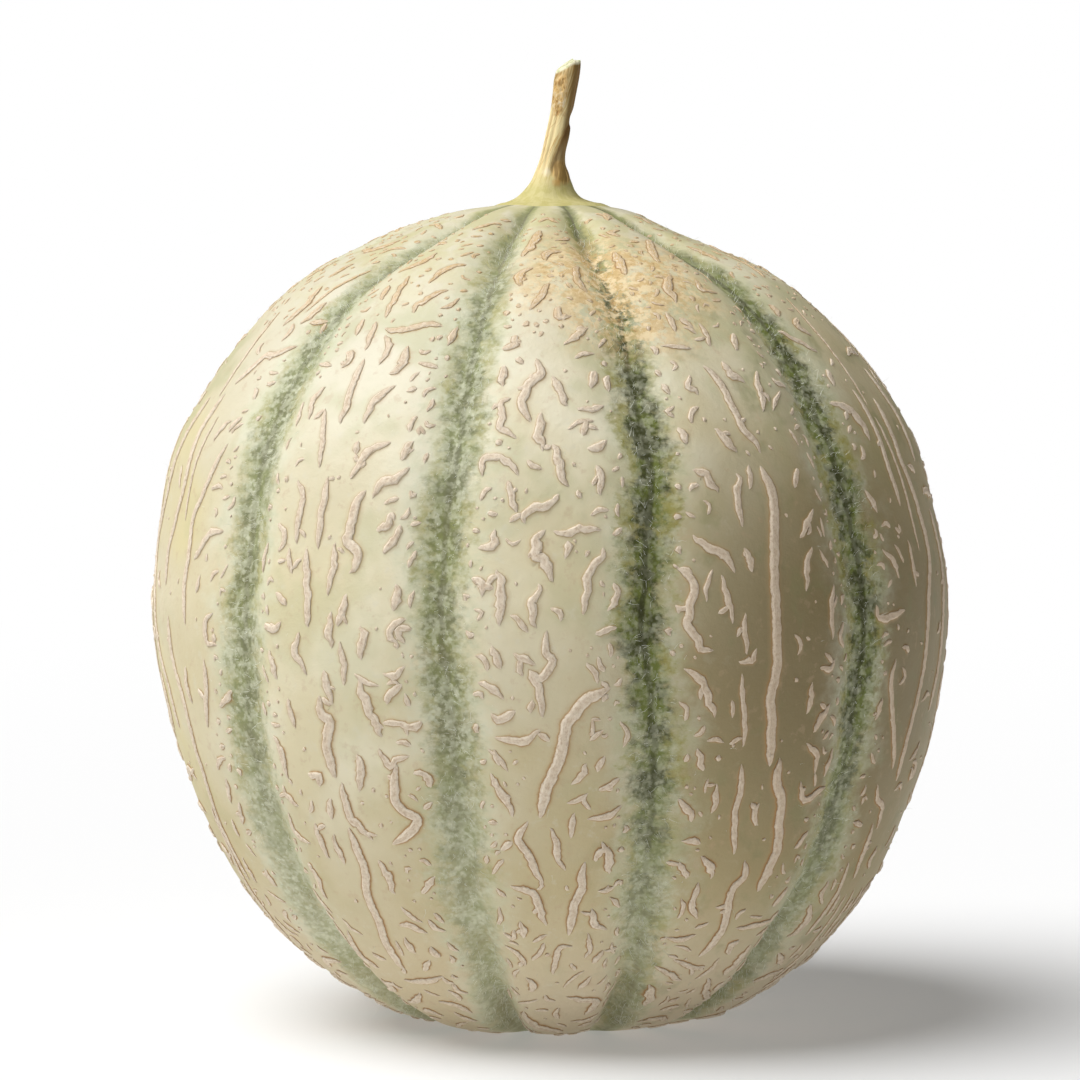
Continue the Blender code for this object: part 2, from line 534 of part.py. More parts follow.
def crack_rows(points, width):
    """Rows of (left, crest, right) for a crack that tapers to a point at both ends."""
    rows = []
    for before, here, after in zip(points, points[1:], points[2:]):
        run = (after[0] - before[0], after[1] - before[1])
        side = width / 2 / math.hypot(*run)
        rows.append(
            (
                (here[0] - run[1] * side, here[1] + run[0] * side),
                here,
                (here[0] + run[1] * side, here[1] - run[0] * side),
            )
        )
    return rows


class LobeMap:
    """The points and fixed edges of one lobe on its flat map, before triangles join them."""

    def __init__(self, lobe):
        self.lobe = lobe
        self.points = []
        self.rises = []
        self.edges = []

    def add(self, point, rise=0.0):
        """Adds a point and gives its number."""
        self.points.append(point)
        self.rises.append(rise)
        return len(self.points) - 1

    def chain(self, numbers):
        """Fixes the edges along a chain of points."""
        self.edges += list(zip(numbers, numbers[1:]))

    def add_border(self, ways):
        """The two furrows, and the arcs at the flat spot and at the seat."""
        left = [self.add((-half_width(self.lobe, way), way)) for way in ways]
        right = [self.add((half_width(self.lobe, way), way)) for way in ways]
        self.chain(left)
        self.chain(right)
        for index in (0, -1):
            half = half_width(self.lobe, ways[index])
            arc = [self.add((half * share, ways[index])) for share in (-0.33, 0.33)]
            self.chain([left[index], *arc, right[index]])

    def add_crack(self, points, width):
        """A crack's outline on the skin, and its crest, which stands above it."""
        rows = crack_rows(points, width)
        first = self.add(points[0])
        last = self.add(points[-1])
        for part, rise in enumerate((0.0, CRACK_HEIGHT, 0.0)):
            self.chain([first, *[self.add(row[part], rise) for row in rows], last])

    def add_plain_points(self, ways, placed):
        """Points of the bare skin: a line beside each furrow, and a staggered grid between."""
        for row, way in enumerate(ways[1:-1]):
            half = half_width(self.lobe, way)
            inner = half - min(VALLEY_LINE, 0.45 * half)
            count = int(2 * inner / POINT_STEP) + 1
            shift = 0.25 if row % 2 else 0.75
            spots = [-inner, inner, *(-inner + 2 * inner * (index + shift) / count for index in range(count))]
            for across in spots:
                if all(
                    math.dist((across, way), other) > width / 2 + CRACK_CLEARANCE
                    for line, width in placed
                    for other in line
                ):
                    self.add((across, way))

    def faces(self):
        """The lobe's points in space, and the triangles between them."""
        flat = [Vector(point) for point in self.points]
        verts, _, faces, sources, _, _ = delaunay_2d_cdt(flat, self.edges, [], 1, 1e-7)
        corners = []
        for vert, source in zip(verts, sources):
            rise = max((self.rises[number] for number in source), default=0.0)
            corners.append(skin_point(self.lobe, unflatten(self.lobe, vert.x, vert.y), vert.y, rise))
        return corners, faces


def finished_object(name, shape, colour, roughness):
    """An object of one closed shape with one plain material."""
    bmesh.ops.recalc_face_normals(shape, faces=shape.faces)
    mesh = bpy.data.meshes.new(name)
    shape.to_mesh(mesh)
    shape.free()
    material = bpy.data.materials.new(name)
    material.use_nodes = True
    shader = material.node_tree.nodes["Principled BSDF"]
    shader.inputs["Base Color"].default_value = colour
    shader.inputs["Roughness"].default_value = roughness
    shader.inputs["Metallic"].default_value = 0.0
    mesh.materials.append(material)
    mesh.shade_smooth()
    mesh.set_sharp_from_angle(angle=math.radians(30))
    made = bpy.data.objects.new(name, mesh)
    bpy.context.scene.collection.objects.link(made)
    return made


def close_ring(shape, height):
    """Closes the open ring of edges at a height with one flat face."""
    ring = [edge for edge in shape.edges if edge.is_boundary and abs(edge.verts[0].co.z - height) < 1e-5]
    bmesh.ops.holes_fill(shape, edges=ring, sides=0)


def make_fruit():
    """The fruit: netted lobes that meet along their furrows, with the flat spot and the stalk's seat."""
    shape = bmesh.new()
    rows = round(WHOLE_WAY / ROW_STEP)
    ways = [WHOLE_WAY * row / rows for row in range(rows + 1)]
    for lobe in range(len(FURROWS)):
        placed = []
        cracks = read_cracks(lobe, placed) + drawn_cracks(lobe, placed)
        lobe_map = LobeMap(lobe)
        lobe_map.add_border(ways)
        for points, width in cracks:
            lobe_map.add_crack(points, width)
        lobe_map.add_plain_points(ways, placed)
        corners, faces = lobe_map.faces()
        verts = [shape.verts.new(corner) for corner in corners]
        for face in faces:
            shape.faces.new([verts[number] for number in face])
    bmesh.ops.remove_doubles(shape, verts=shape.verts, dist=1e-6)
    close_ring(shape, 0.0)
    close_ring(shape, FRUIT_HEIGHT)
    return finished_object("fruit", shape, SKIN_COLOUR, 0.55)


def stalk_ring(shape, ring, is_top):
    """One ring of the stalk: round at the foot, five-ribbed and twisted above it."""
    height, radius, right, forward = ring
    share = height / STALK_RINGS[-1][0]
    rib_depth = STALK_RIB_DEPTH * smoothstep(0.08, 0.40, share)
    slope = STALK_CUT_RISE if is_top else 0.0
    verts = []
    for side in range(STALK_SIDES):
        angle = 2 * math.pi * side / STALK_SIDES
        rib = 0.5 + 0.5 * math.cos(STALK_RIBS * angle + math.radians(STALK_TWIST) * share)
        reach = radius * (1.0 - rib_depth * (1.0 - rib))
        x = STALK_RIGHT + right + reach * math.cos(angle)
        y = -forward + reach * math.sin(angle)
        z = FRUIT_HEIGHT + STALK_GAP + height + slope * reach * math.cos(angle)
        verts.append(shape.verts.new((x, y, z)))
    return verts


def make_stalk():
    """The stalk, which stands on the fruit's seat with a hair's gap under it."""
    shape = bmesh.new()
    rings = [stalk_ring(shape, ring, ring is STALK_RINGS[-1]) for ring in STALK_RINGS]
    for lower, upper in zip(rings, rings[1:]):
        for side in range(STALK_SIDES):
            after = (side + 1) % STALK_SIDES
            shape.faces.new((lower[side], lower[after], upper[after], upper[side]))
    shape.faces.new(rings[0][::-1])
    shape.faces.new(rings[-1])
    return finished_object("stalk", shape, STALK_COLOUR, 0.75)


for old in list(bpy.data.objects):
    bpy.data.objects.remove(old)
make_fruit()
make_stalk()
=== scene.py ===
"""The looks of a ribbed, netted cantaloupe melon and its dry stalk, built round the solid model.

Metres, +Z up; the viewer is on the -Y side. A place on the rind is a longitude, in degrees from -Y and
positive towards +X, and a way, the distance along the outline from the edge of the flat spot. Each lobe
also has a flat map, (across, way) in metres, on which distances are nearly true.
"""

import bisect
import logging
import math
import random
from collections import defaultdict
from collections.abc import Iterable, Sequence
from dataclasses import dataclass, field
from enum import Enum

import bpy
from mathutils import Euler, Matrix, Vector, noise


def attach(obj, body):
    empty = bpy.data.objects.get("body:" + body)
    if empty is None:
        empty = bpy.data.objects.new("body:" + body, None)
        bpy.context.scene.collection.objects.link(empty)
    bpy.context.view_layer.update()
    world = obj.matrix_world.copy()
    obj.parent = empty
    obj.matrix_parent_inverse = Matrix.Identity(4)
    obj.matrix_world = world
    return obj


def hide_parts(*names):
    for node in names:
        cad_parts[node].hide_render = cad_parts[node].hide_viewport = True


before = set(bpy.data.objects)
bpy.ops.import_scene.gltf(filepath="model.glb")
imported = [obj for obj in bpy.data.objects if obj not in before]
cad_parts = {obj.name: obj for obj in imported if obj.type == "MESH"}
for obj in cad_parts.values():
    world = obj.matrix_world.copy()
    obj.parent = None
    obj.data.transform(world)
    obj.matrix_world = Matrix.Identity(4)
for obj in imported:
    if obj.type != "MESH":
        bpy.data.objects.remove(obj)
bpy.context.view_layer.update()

LOG = logging.getLogger("melon")
MM = 0.001

Spot = tuple[float, float]
Place = tuple[float, float, float]
Colour = tuple[float, float, float]
Knots = tuple[Spot, ...]

# The net of the front, read from the photograph, lobe by lobe: width in millimetres, then
# (longitude, way in millimetres) along the middle of each crack
READ_CRACKS: dict[int, tuple] = {
    0: (
        (1.2, (-57, 132), (-59, 126), (-60.5, 121.7), (-62, 118), (-61.5, 112), (-61.8, 107),
         (-61.2, 99.5)),
        (1.3, (-66.5, 141), (-67.5, 133), (-67, 124), (-68.5, 117.5), (-70, 111), (-69.5, 105.5)),
        (1.3, (-68, 101), (-67.5, 93.5), (-65.5, 86.5), (-65, 80), (-65, 73), (-66, 65),
         (-66, 58), (-65, 52)),
        (1.3, (-72, 140), (-74, 131), (-76, 121), (-79, 112), (-77, 104), (-75, 95.5), (-73, 89),
         (-71, 80)),
        (1.3, (-53.2, 116.6), (-56.5, 116), (-58.3, 113.5), (-60, 110.8)),
        (1.2, (-57.5, 109), (-58.3, 105.4)),
        (1.2, (-53.6, 102.5), (-55.5, 101), (-55.2, 97.5), (-52.8, 97)),
        (1.3, (-56.5, 94.6), (-56.5, 90), (-57.5, 86.5), (-58.4, 82)),
        (1.2, (-57, 73.5), (-58, 68)),
        (1.2, (-55.5, 69), (-56.7, 64.5)),
        (1.1, (-63, 57.5), (-62, 52)),
        (1.3, (-56.5, 56), (-55, 52)),
        (1.4, (-53.5, 152.3), (-58, 149.5)),
        (1.1, (-60, 149.5), (-62.5, 146), (-65, 142.8)),
        (1.3, (-56.5, 137), (-58.3, 133.6)),
        (1.2, (-50.8, 158.5), (-55.5, 157)),
    ),
    1: (
        (1.7, (-20.2, 129), (-22.2, 127), (-24.8, 125.5), (-25.3, 123.5)),
        (1.8, (-26.4, 125.2), (-28, 122.4), (-28.6, 117.5), (-29, 116.2), (-27.2, 114.5),
         (-27.3, 112), (-28.4, 110.8)),
        (1.4, (-33.3, 127.2), (-33.4, 123.5), (-33.6, 119.5), (-33.5, 114.6)),
        (1.3, (-39, 126.5), (-37.2, 123.3), (-37.5, 119.4), (-37.4, 115.3)),
        (1.3, (-30.8, 116), (-30.6, 112.5), (-31.6, 106.7)),
        (1.1, (-39, 114.8), (-37.7, 110)),
        (1.5, (-35.7, 115), (-35, 109.5), (-34.6, 105.6), (-34.5, 101.2)),
        (1.6, (-28.4, 107.5), (-28.8, 105.3), (-29.6, 102)),
        (1.4, (-30.8, 104.7), (-31, 102), (-30.7, 98.2)),
        (1.5, (-26.2, 102.6), (-25.8, 100.3), (-26.3, 96.4)),
        (1.6, (-21.2, 109.7), (-20.8, 107.5), (-21.5, 104.8)),
        (1.3, (-19.4, 103.7), (-21.4, 102.6), (-21.9, 100.7), (-20.6, 99.4)),
        (1.2, (-29.4, 99.8), (-28.8, 95.4), (-29, 92)),
        (1.4, (-35.8, 101), (-36.8, 97.2), (-34.8, 93.4)),
        (1.3, (-42, 97.2), (-40.6, 92)),
        (1.6, (-32, 94.6), (-31.6, 91.3), (-31.2, 88.7)),
        (1.7, (-26.8, 93.7), (-26, 89.8), (-24.8, 86.5), (-23.9, 83)),
        (1.2, (-23.3, 94.4), (-21.6, 93.8), (-19.8, 95.6)),
        (1.5, (-20.4, 92.5), (-22.4, 91), (-23, 88.7)),
        (1.9, (-33.2, 90.4), (-33, 86.8), (-31.8, 86), (-32.8, 82), (-32.7, 78.3), (-32.3, 75.5)),
        (1.2, (-39, 89.4), (-38, 84)),
        (1.5, (-22.4, 121.6), (-22.8, 119.2), (-24.8, 118)),
        (1.6, (-21, 119.6), (-21.3, 117.2), (-23.3, 114.5)),
        (1.3, (-41.7, 118.7), (-40.2, 117.3), (-39.8, 115.4), (-41.2, 114)),
        (1.2, (-40.6, 106.9), (-38.2, 105)),
        (1.5, (-31.5, 75.3), (-31.3, 72.3), (-31, 69.2), (-29.7, 67.3), (-28, 64.6)),
        (1.6, (-31.8, 67), (-31.3, 63.5), (-30.7, 59), (-31.8, 54), (-31.5, 49), (-32, 43),
         (-31.6, 36.5)),
        (1.3, (-24.9, 81.5), (-23.2, 78.6), (-22, 80), (-20.1, 80.4)),
        (1.7, (-22.2, 79), (-22.8, 76), (-22.9, 71.5), (-20.3, 69), (-21.7, 66.5), (-25, 64)),
        (1.7, (-28.3, 80.6), (-27.7, 78.3), (-28.8, 73.5)),
        (1.4, (-43.3, 82.5), (-41.8, 80), (-41.7, 77), (-41.3, 74.6)),
        (1.2, (-43.5, 73.7), (-42.8, 71.5), (-40.4, 69.8)),
        (1.2, (-44, 68.3), (-43.9, 65), (-42, 63.5), (-40.3, 62.8)),
        (1.2, (-35, 65.5), (-34.4, 59.3)),
        (1.3, (-43.3, 59), (-41.9, 56.3), (-41.6, 51.3)),
        (1.5, (-28, 61.5), (-27.1, 58.5), (-26.6, 54)),
        (1.2, (-18.9, 58.3), (-22, 54.6)),
        (1.3, (-27.5, 45.5), (-27, 41)),
        (1.5, (-23, 43.5), (-22.5, 40)),
        (1.1, (-23.7, 86), (-20, 86)),
        (1.2, (-46, 44.5), (-42.7, 42.5)),
        (1.5, (-20.3, 173), (-24.5, 171.5), (-26, 169.5), (-27, 166.3)),
        (1.4, (-21.3, 165), (-23.5, 164), (-25.5, 162), (-27.2, 161.3), (-27, 159)),
        (1.2, (-34, 169.5), (-33.5, 163.7), (-33, 157.8)),
        (1.3, (-32.5, 155.6), (-28.5, 155.4), (-25.8, 156), (-22.5, 157), (-19.8, 156.4)),
        (1.7, (-25.5, 152.4), (-25.2, 149), (-26.2, 147), (-27.9, 146.3)),
        (1.4, (-25, 144.3), (-26.9, 143), (-28.8, 139.8), (-29, 136.6)),
        (1.4, (-33.5, 149.7), (-33.8, 145), (-33.4, 139.8), (-33.6, 136.2)),
        (1.2, (-34.8, 157.5), (-34.2, 153.3), (-34.2, 150.8)),
        (1.2, (-38.5, 158.2), (-38, 154)),
        (1.4, (-39.5, 144), (-41, 141.5), (-40.3, 137)),
        (1.1, (-37.7, 139.7), (-35.9, 133.5), (-35.2, 128)),
        (1.5, (-23.6, 133.5), (-26.9, 131.8), (-28.7, 128.6), (-29.4, 126.4)),
        (1.6, (-20, 134), (-21.2, 132), (-21.8, 130)),
        (1.2, (-38, 166.8), (-36.7, 162)),
        (1.4, (-29.5, 133.8), (-29.3, 130.8)),
    ),
    2: (
        (1.3, (-9.2, 127.4), (-9.2, 130.6), (-7, 130.8), (-5, 129.3), (-3.8, 127.5)),
        (1.4, (-5.6, 126.8), (-4.8, 124.4), (-4.1, 121.3)),
        (1.6, (1.8, 124.6), (0.9, 123), (-1, 122.4), (-3, 121.3), (-3.1, 119.6)),
        (1.9, (-0.2, 118.6), (-1.6, 117.2), (-1.4, 114.4), (-0.2, 112.5), (0.8, 110.2)),
        (1.3, (0.6, 118.5), (2.8, 118.3), (5.2, 118.8), (7.5, 118.5)),
        (1.5, (2.9, 117), (2.5, 114)),
        (1.4, (7.8, 116), (7.4, 114.2), (5.6, 111.6), (5.2, 108.4), (4.6, 104.5)),
        (1.7, (-6.7, 112.5), (-6.3, 109.4), (-6.3, 106.7), (-6.6, 102.5)),
        (1.2, (-9.7, 109.6), (-7.2, 108.8)),
        (1.5, (-1.2, 110), (-1.4, 107.8), (-2.3, 106.2), (-1.6, 102.5)),
        (1.0, (-5.2, 104.8), (-3.6, 103.4), (-2.6, 101.6)),
        (1.1, (6, 101.2), (7.7, 102.3), (9.3, 102.6)),
        (1.4, (-0.2, 102.3), (-0.4, 98.6), (0.5, 97.3), (0, 95.7), (-1.2, 94.2)),
        (1.5, (-2.4, 95), (-1.4, 92.4), (-0.9, 87.3)),
        (1.5, (-7.7, 99.8), (-7.1, 97.3), (-6.4, 95.6)),
        (1.2, (-4, 97.5), (-3.7, 94.8)),
        (1.1, (4.9, 96.8), (6.1, 95), (6.6, 93.2)),
        (1.9, (8.3, 92.6), (4.6, 90.3), (3.2, 88), (2.1, 86), (1.6, 82.2), (0.4, 78.2),
         (-0.7, 75), (-1.8, 69.6)),
        (1.5, (-8.4, 88), (-6.7, 87.2), (-4.5, 88.8)),
        (1.3, (-9.9, 93.4), (-7.7, 92), (-6.2, 90.3)),
        (1.4, (-8.6, 78), (-7.9, 75.3), (-6.5, 72.6), (-5.6, 69.6)),
        (1.2, (-7.9, 82), (-7.4, 79)),
        (1.4, (-3.5, 69.3), (-5.1, 65.9), (-3.9, 63), (-2.9, 60), (-1.6, 57)),
        (1.2, (-5.9, 65.6), (-7.9, 63.5)),
        (1.4, (-7.2, 56.6), (-5, 56.2), (-3, 54.8), (-2.4, 51.8), (-1.6, 48.2)),
        (1.2, (-0.6, 68), (0.6, 65.2), (0.9, 61.8), (1.8, 59.6)),
        (1.1, (3.3, 71), (2.7, 68), (2.6, 65.8)),
        (1.5, (4.9, 61.8), (4.3, 58.8), (4.5, 56.5), (3.3, 53), (2.3, 46)),
        (1.0, (6.9, 55.5), (10, 55.7)),
        (1.1, (6.3, 77.9), (7.5, 81)),
        (1.1, (6.6, 74.6), (9.7, 76.7)),
        (1.0, (2, 72.6), (3.6, 72.9), (5.4, 74.6)),
        (1.2, (5, 69.5), (8, 69.8), (10.2, 71.6)),
        (1.2, (6.4, 61.2), (7, 63.4), (8.8, 64.2)),
        (1.2, (-6.2, 49.5), (-5.4, 47.5), (-5.7, 45.3)),
        (1.1, (3.3, 43.4), (0.8, 43.6), (0, 40.5), (-1, 36)),
        (1.1, (-9.7, 43), (-7, 41.7), (-5.8, 38.5)),
        (1.1, (6.6, 38.6), (9, 42)),
        (1.0, (4, 31.5), (7.2, 35.6)),
        (1.0, (5.2, 83.5), (7.3, 85.6)),
        (1.6, (-1.8, 149.6), (-0.8, 146.4), (-2.9, 144), (-3.6, 140), (-2.1, 137)),
        (1.5, (0.6, 146), (2.4, 143.4), (3.3, 140)),
        (1.6, (-0.6, 139), (-1.1, 135.4), (-0.4, 131.6)),
        (1.6, (0.9, 133.5), (1.5, 131), (2.2, 128.3), (3.3, 125.8)),
        (1.6, (-7.3, 148.4), (-7, 143.8)),
        (1.3, (-5.2, 141.8), (-7, 141), (-6.8, 137.9)),
        (1.5, (-6.9, 136.4), (-4.2, 134)),
        (1.2, (5.3, 155.4), (7.8, 156)),
        (1.5, (8.2, 147.2), (7.2, 143.5)),
        (1.1, (4.6, 139.9), (7, 139.6), (9.4, 140.6)),
        (1.3, (6.1, 137.4), (5.5, 134.6)),
        (1.4, (5.8, 132.2), (7.6, 132.4), (9.2, 134)),
        (1.4, (7.2, 129.6), (7.7, 127), (7.6, 124)),
    ),
    3: (
        (1.6, (21.4, 128.6), (23.3, 127.6), (24.7, 124.4)),
        (1.4, (28.2, 127.8), (28.6, 126), (27.8, 123.8), (28, 118.3)),
        (1.9, (32.6, 129), (33.5, 125.5), (33.7, 122), (33, 116), (32.2, 108.7), (32.1, 102),
         (32.2, 95.4)),
        (1.9, (31.9, 93.4), (31.4, 90), (31.8, 86), (32, 82), (32.4, 77.8)),
        (1.9, (33.9, 79.5), (33.9, 75), (35.3, 72), (35.8, 67.8), (36.6, 62.7), (36, 59), (35.1, 53.8)),
        (1.4, (27.7, 148.2), (29.7, 144.6), (30.7, 139.5), (31.4, 135.6), (32.7, 133.3), (33.4, 131)),
        (1.6, (20.4, 117.8), (21.6, 116), (24, 114.6), (25.4, 112.8), (26.2, 111)),
        (1.5, (17.8, 112.5), (19.5, 110.7), (20.2, 108.5), (19.4, 106.3), (19.2, 104.2)),
        (1.2, (18.8, 102.8), (20.2, 100.3), (20.6, 98.8), (22.6, 98.4)),
        (1.2, (24, 111), (24.7, 107.2), (25.5, 102.4)),
        (1.1, (27.2, 104.4), (27, 101.5), (27.5, 97.4)),
        (1.0, (26.8, 94.6), (26.7, 92), (27.2, 88.7), (27.6, 84), (27.5, 81.5)),
        (1.2, (27.6, 79), (28, 74), (27.7, 69), (28.8, 61.8)),
        (1.4, (18.3, 95.5), (20, 94.4), (21, 92.8), (22, 89.9), (23, 86.8)),
        (1.3, (39.8, 115), (38.3, 112), (37.6, 107.2)),
        (1.4, (41.2, 121), (39.3, 118.7), (37.6, 116)),
        (1.2, (39.7, 128.4), (38, 124.6)),
        (1.1, (39.7, 94.4), (42, 94), (43, 95.4)),
        (1.5, (42.6, 88), (40.6, 85.5), (39.3, 82.8)),
        (1.5, (31.1, 61), (31.5, 57.5), (30, 55.2), (30.2, 51), (30.7, 47), (30, 43), (28.3, 39.3)),
        (1.4, (18.4, 72.5), (20.2, 71), (21, 68.5)),
        (1.3, (20.7, 82), (21.8, 77.5)),
        (1.2, (19.7, 65), (23, 64.4)),
        (1.5, (23.1, 62), (25, 59.8), (25.7, 57)),
        (1.2, (20, 61), (21.7, 57.4)),
        (1.3, (23.7, 57), (23.4, 52), (25.2, 48.9)),
        (1.2, (20.3, 44.6), (22.8, 44.2), (26, 45.2)),
        (1.2, (33.3, 46.2), (38, 46.5), (43, 47)),
        (1.2, (23, 39), (28.5, 36.6), (31.5, 36.8)),
        (1.3, (38.5, 75), (39.5, 71.6)),
        (1.3, (40.6, 71), (43.5, 72.5), (45.2, 72.8)),
        (1.3, (38.4, 81.8), (40.9, 79), (41.3, 75.6)),
        (1.2, (40.3, 61.8), (43, 65)),
        (1.2, (42.6, 54), (40, 50)),
        (1.1, (30.9, 157.5), (31.1, 154.3), (31, 151.6)),
        (1.1, (24.6, 160), (25.3, 155)),
        (1.0, (26.8, 158.6), (29.3, 156)),
        (1.6, (26.3, 136), (27.8, 133.5), (29.2, 131.3)),
        (1.4, (38.6, 147), (37.5, 144.2), (37, 141), (36.3, 138.3)),
        (1.3, (37.5, 155), (36.2, 151)),
        (1.2, (37, 168.5), (36.3, 165), (41, 164.5)),
        (1.2, (24.6, 146.4), (24, 144), (25.4, 142)),
        (1.3, (20.5, 136.4), (21.3, 132.8)),
    ),
    4: (
        (1.4, (67, 140), (66.5, 132), (66.3, 127), (68, 121), (69.6, 114.5), (69.6, 110),
         (67.2, 104), (66.5, 97.5)),
        (1.4, (66.4, 95.6), (66, 90), (64.5, 83), (63.7, 77), (64.3, 71.5)),
        (1.3, (73, 146), (74, 136), (73.4, 127)),
        (1.3, (75, 119), (76.5, 110), (74.5, 101), (74, 92), (72.5, 83)),
        (1.2, (60.8, 142), (61.5, 137), (61.5, 132.5), (61, 128), (61.4, 124.6), (62.2, 120)),
        (1.2, (55, 113.4), (57, 111.4), (58.4, 108)),
        (1.3, (52.4, 104.2), (53, 101.7), (57, 102), (59.3, 102.6)),
        (1.1, (62.5, 114.6), (63, 106)),
        (1.2, (57, 94.5), (56, 91), (57.3, 85.5), (58.9, 81), (60.6, 76.5), (61.3, 74)),
        (1.2, (57.5, 72), (59, 69), (61.6, 67), (62.6, 62.5)),
        (1.2, (60.4, 64.5), (60.6, 59), (61.4, 53)),
        (1.1, (54, 65), (57, 64.3)),
        (1.3, (56.6, 146.4), (56, 142.6)),
        (1.2, (51.4, 156), (54, 153), (58, 150)),
        (1.2, (53.5, 124), (55.4, 119.5)),
        (1.2, (54.5, 88), (53.6, 83.5)),
    ),
}


def smoothstep(low: float, high: float, value: float) -> float:
    """Rises smoothly from 0 at low to 1 at high, which may also lie below low."""
    share = min(1.0, max(0.0, (value - low) / (high - low)))
    return share * share * (3.0 - 2.0 * share)


def read_curve(knots: Knots, place: float) -> float:
    """Reads a smooth value from a list of (place, value).

    Args:
        knots: places in rising order, each with its value.
        place: where to read.

    Returns:
        The value at that place, or the last one beyond the end.
    """
    for (left, low), (right, high) in zip(knots, knots[1:]):
        if place <= right:
            return low + (high - low) * smoothstep(left, right, place)
    return knots[-1][1]


def spline(p0: float, p1: float, p2: float, p3: float, t: float) -> float:
    """Gives a number on the smooth curve from p1 to p2, whose neighbours are p0 and p3."""
    square = 2 * p0 - 5 * p1 + 4 * p2 - p3
    cube = 3 * p1 - p0 - 3 * p2 + p3
    return 0.5 * (2 * p1 + (p2 - p0) * t + square * t**2 + cube * t**3)


def smooth_line(points: Sequence[tuple], steps: int) -> list[tuple]:
    """Draws a smooth curve through points of any dimension.

    Args:
        points: the points that the curve passes through.
        steps: how many points it gets for each stretch.

    Returns:
        The curve's points, both ends included.
    """
    first = tuple(2 * a - b for a, b in zip(points[0], points[1]))
    last = tuple(2 * a - b for a, b in zip(points[-1], points[-2]))
    knots = [first, *points, last]
    found = []
    for corners in zip(knots, knots[1:], knots[2:], knots[3:]):
        for step in range(steps):
            found.append(tuple(spline(*numbers, step / steps) for numbers in zip(*corners)))
    found.append(tuple(points[-1]))
    return found


def run_length(points: Sequence[tuple]) -> float:
    """Measures a line."""
    return sum(math.dist(before, after) for before, after in zip(points, points[1:]))


def even_line(points: Sequence[Spot], step: float) -> list[Spot]:
    """Spaces a line's points evenly.

    Args:
        points: the line.
        step: the spacing to aim for.

    Returns:
        At least five points along the same line, ends included.
    """
    ways = [0.0]
    for before, after in zip(points, points[1:]):
        ways.append(ways[-1] + math.dist(before, after))
    count = max(4, round(ways[-1] / step))
    found = []
    for number in range(count + 1):
        way = ways[-1] * number / count
        index = min(max(bisect.bisect_right(ways, way), 1), len(ways) - 1)
        share = (way - ways[index - 1]) / max(ways[index] - ways[index - 1], 1e-9)
        (x0, y0), (x1, y1) = points[index - 1], points[index]
        found.append((x0 + (x1 - x0) * share, y0 + (y1 - y0) * share))
    return found


def dense(points: Sequence[Spot]) -> list[Spot]:
    """Gives a line's points and the middles between them."""
    found = [points[0]]
    for before, after in zip(points, points[1:]):
        found.append(tuple((a + b) / 2 for a, b in zip(before, after)))
        found.append(after)
    return found


def srgb(red: int, green: int, blue: int) -> Colour:
    """Turns a screen colour of 0 to 255 into linear light."""
    shares = (part / 255 for part in (red, green, blue))
    return tuple(c / 12.92 if c <= 10 / 255 else ((c + 0.055) / 1.055) ** 2.4 for c in shares)


def quads(before: Sequence[int], after: Sequence[int]) -> list[tuple[int, ...]]:
    """Joins two rings of points by faces with four corners."""
    turned = zip(before, [*before[1:], before[0]], [*after[1:], after[0]], after)
    return list(turned)


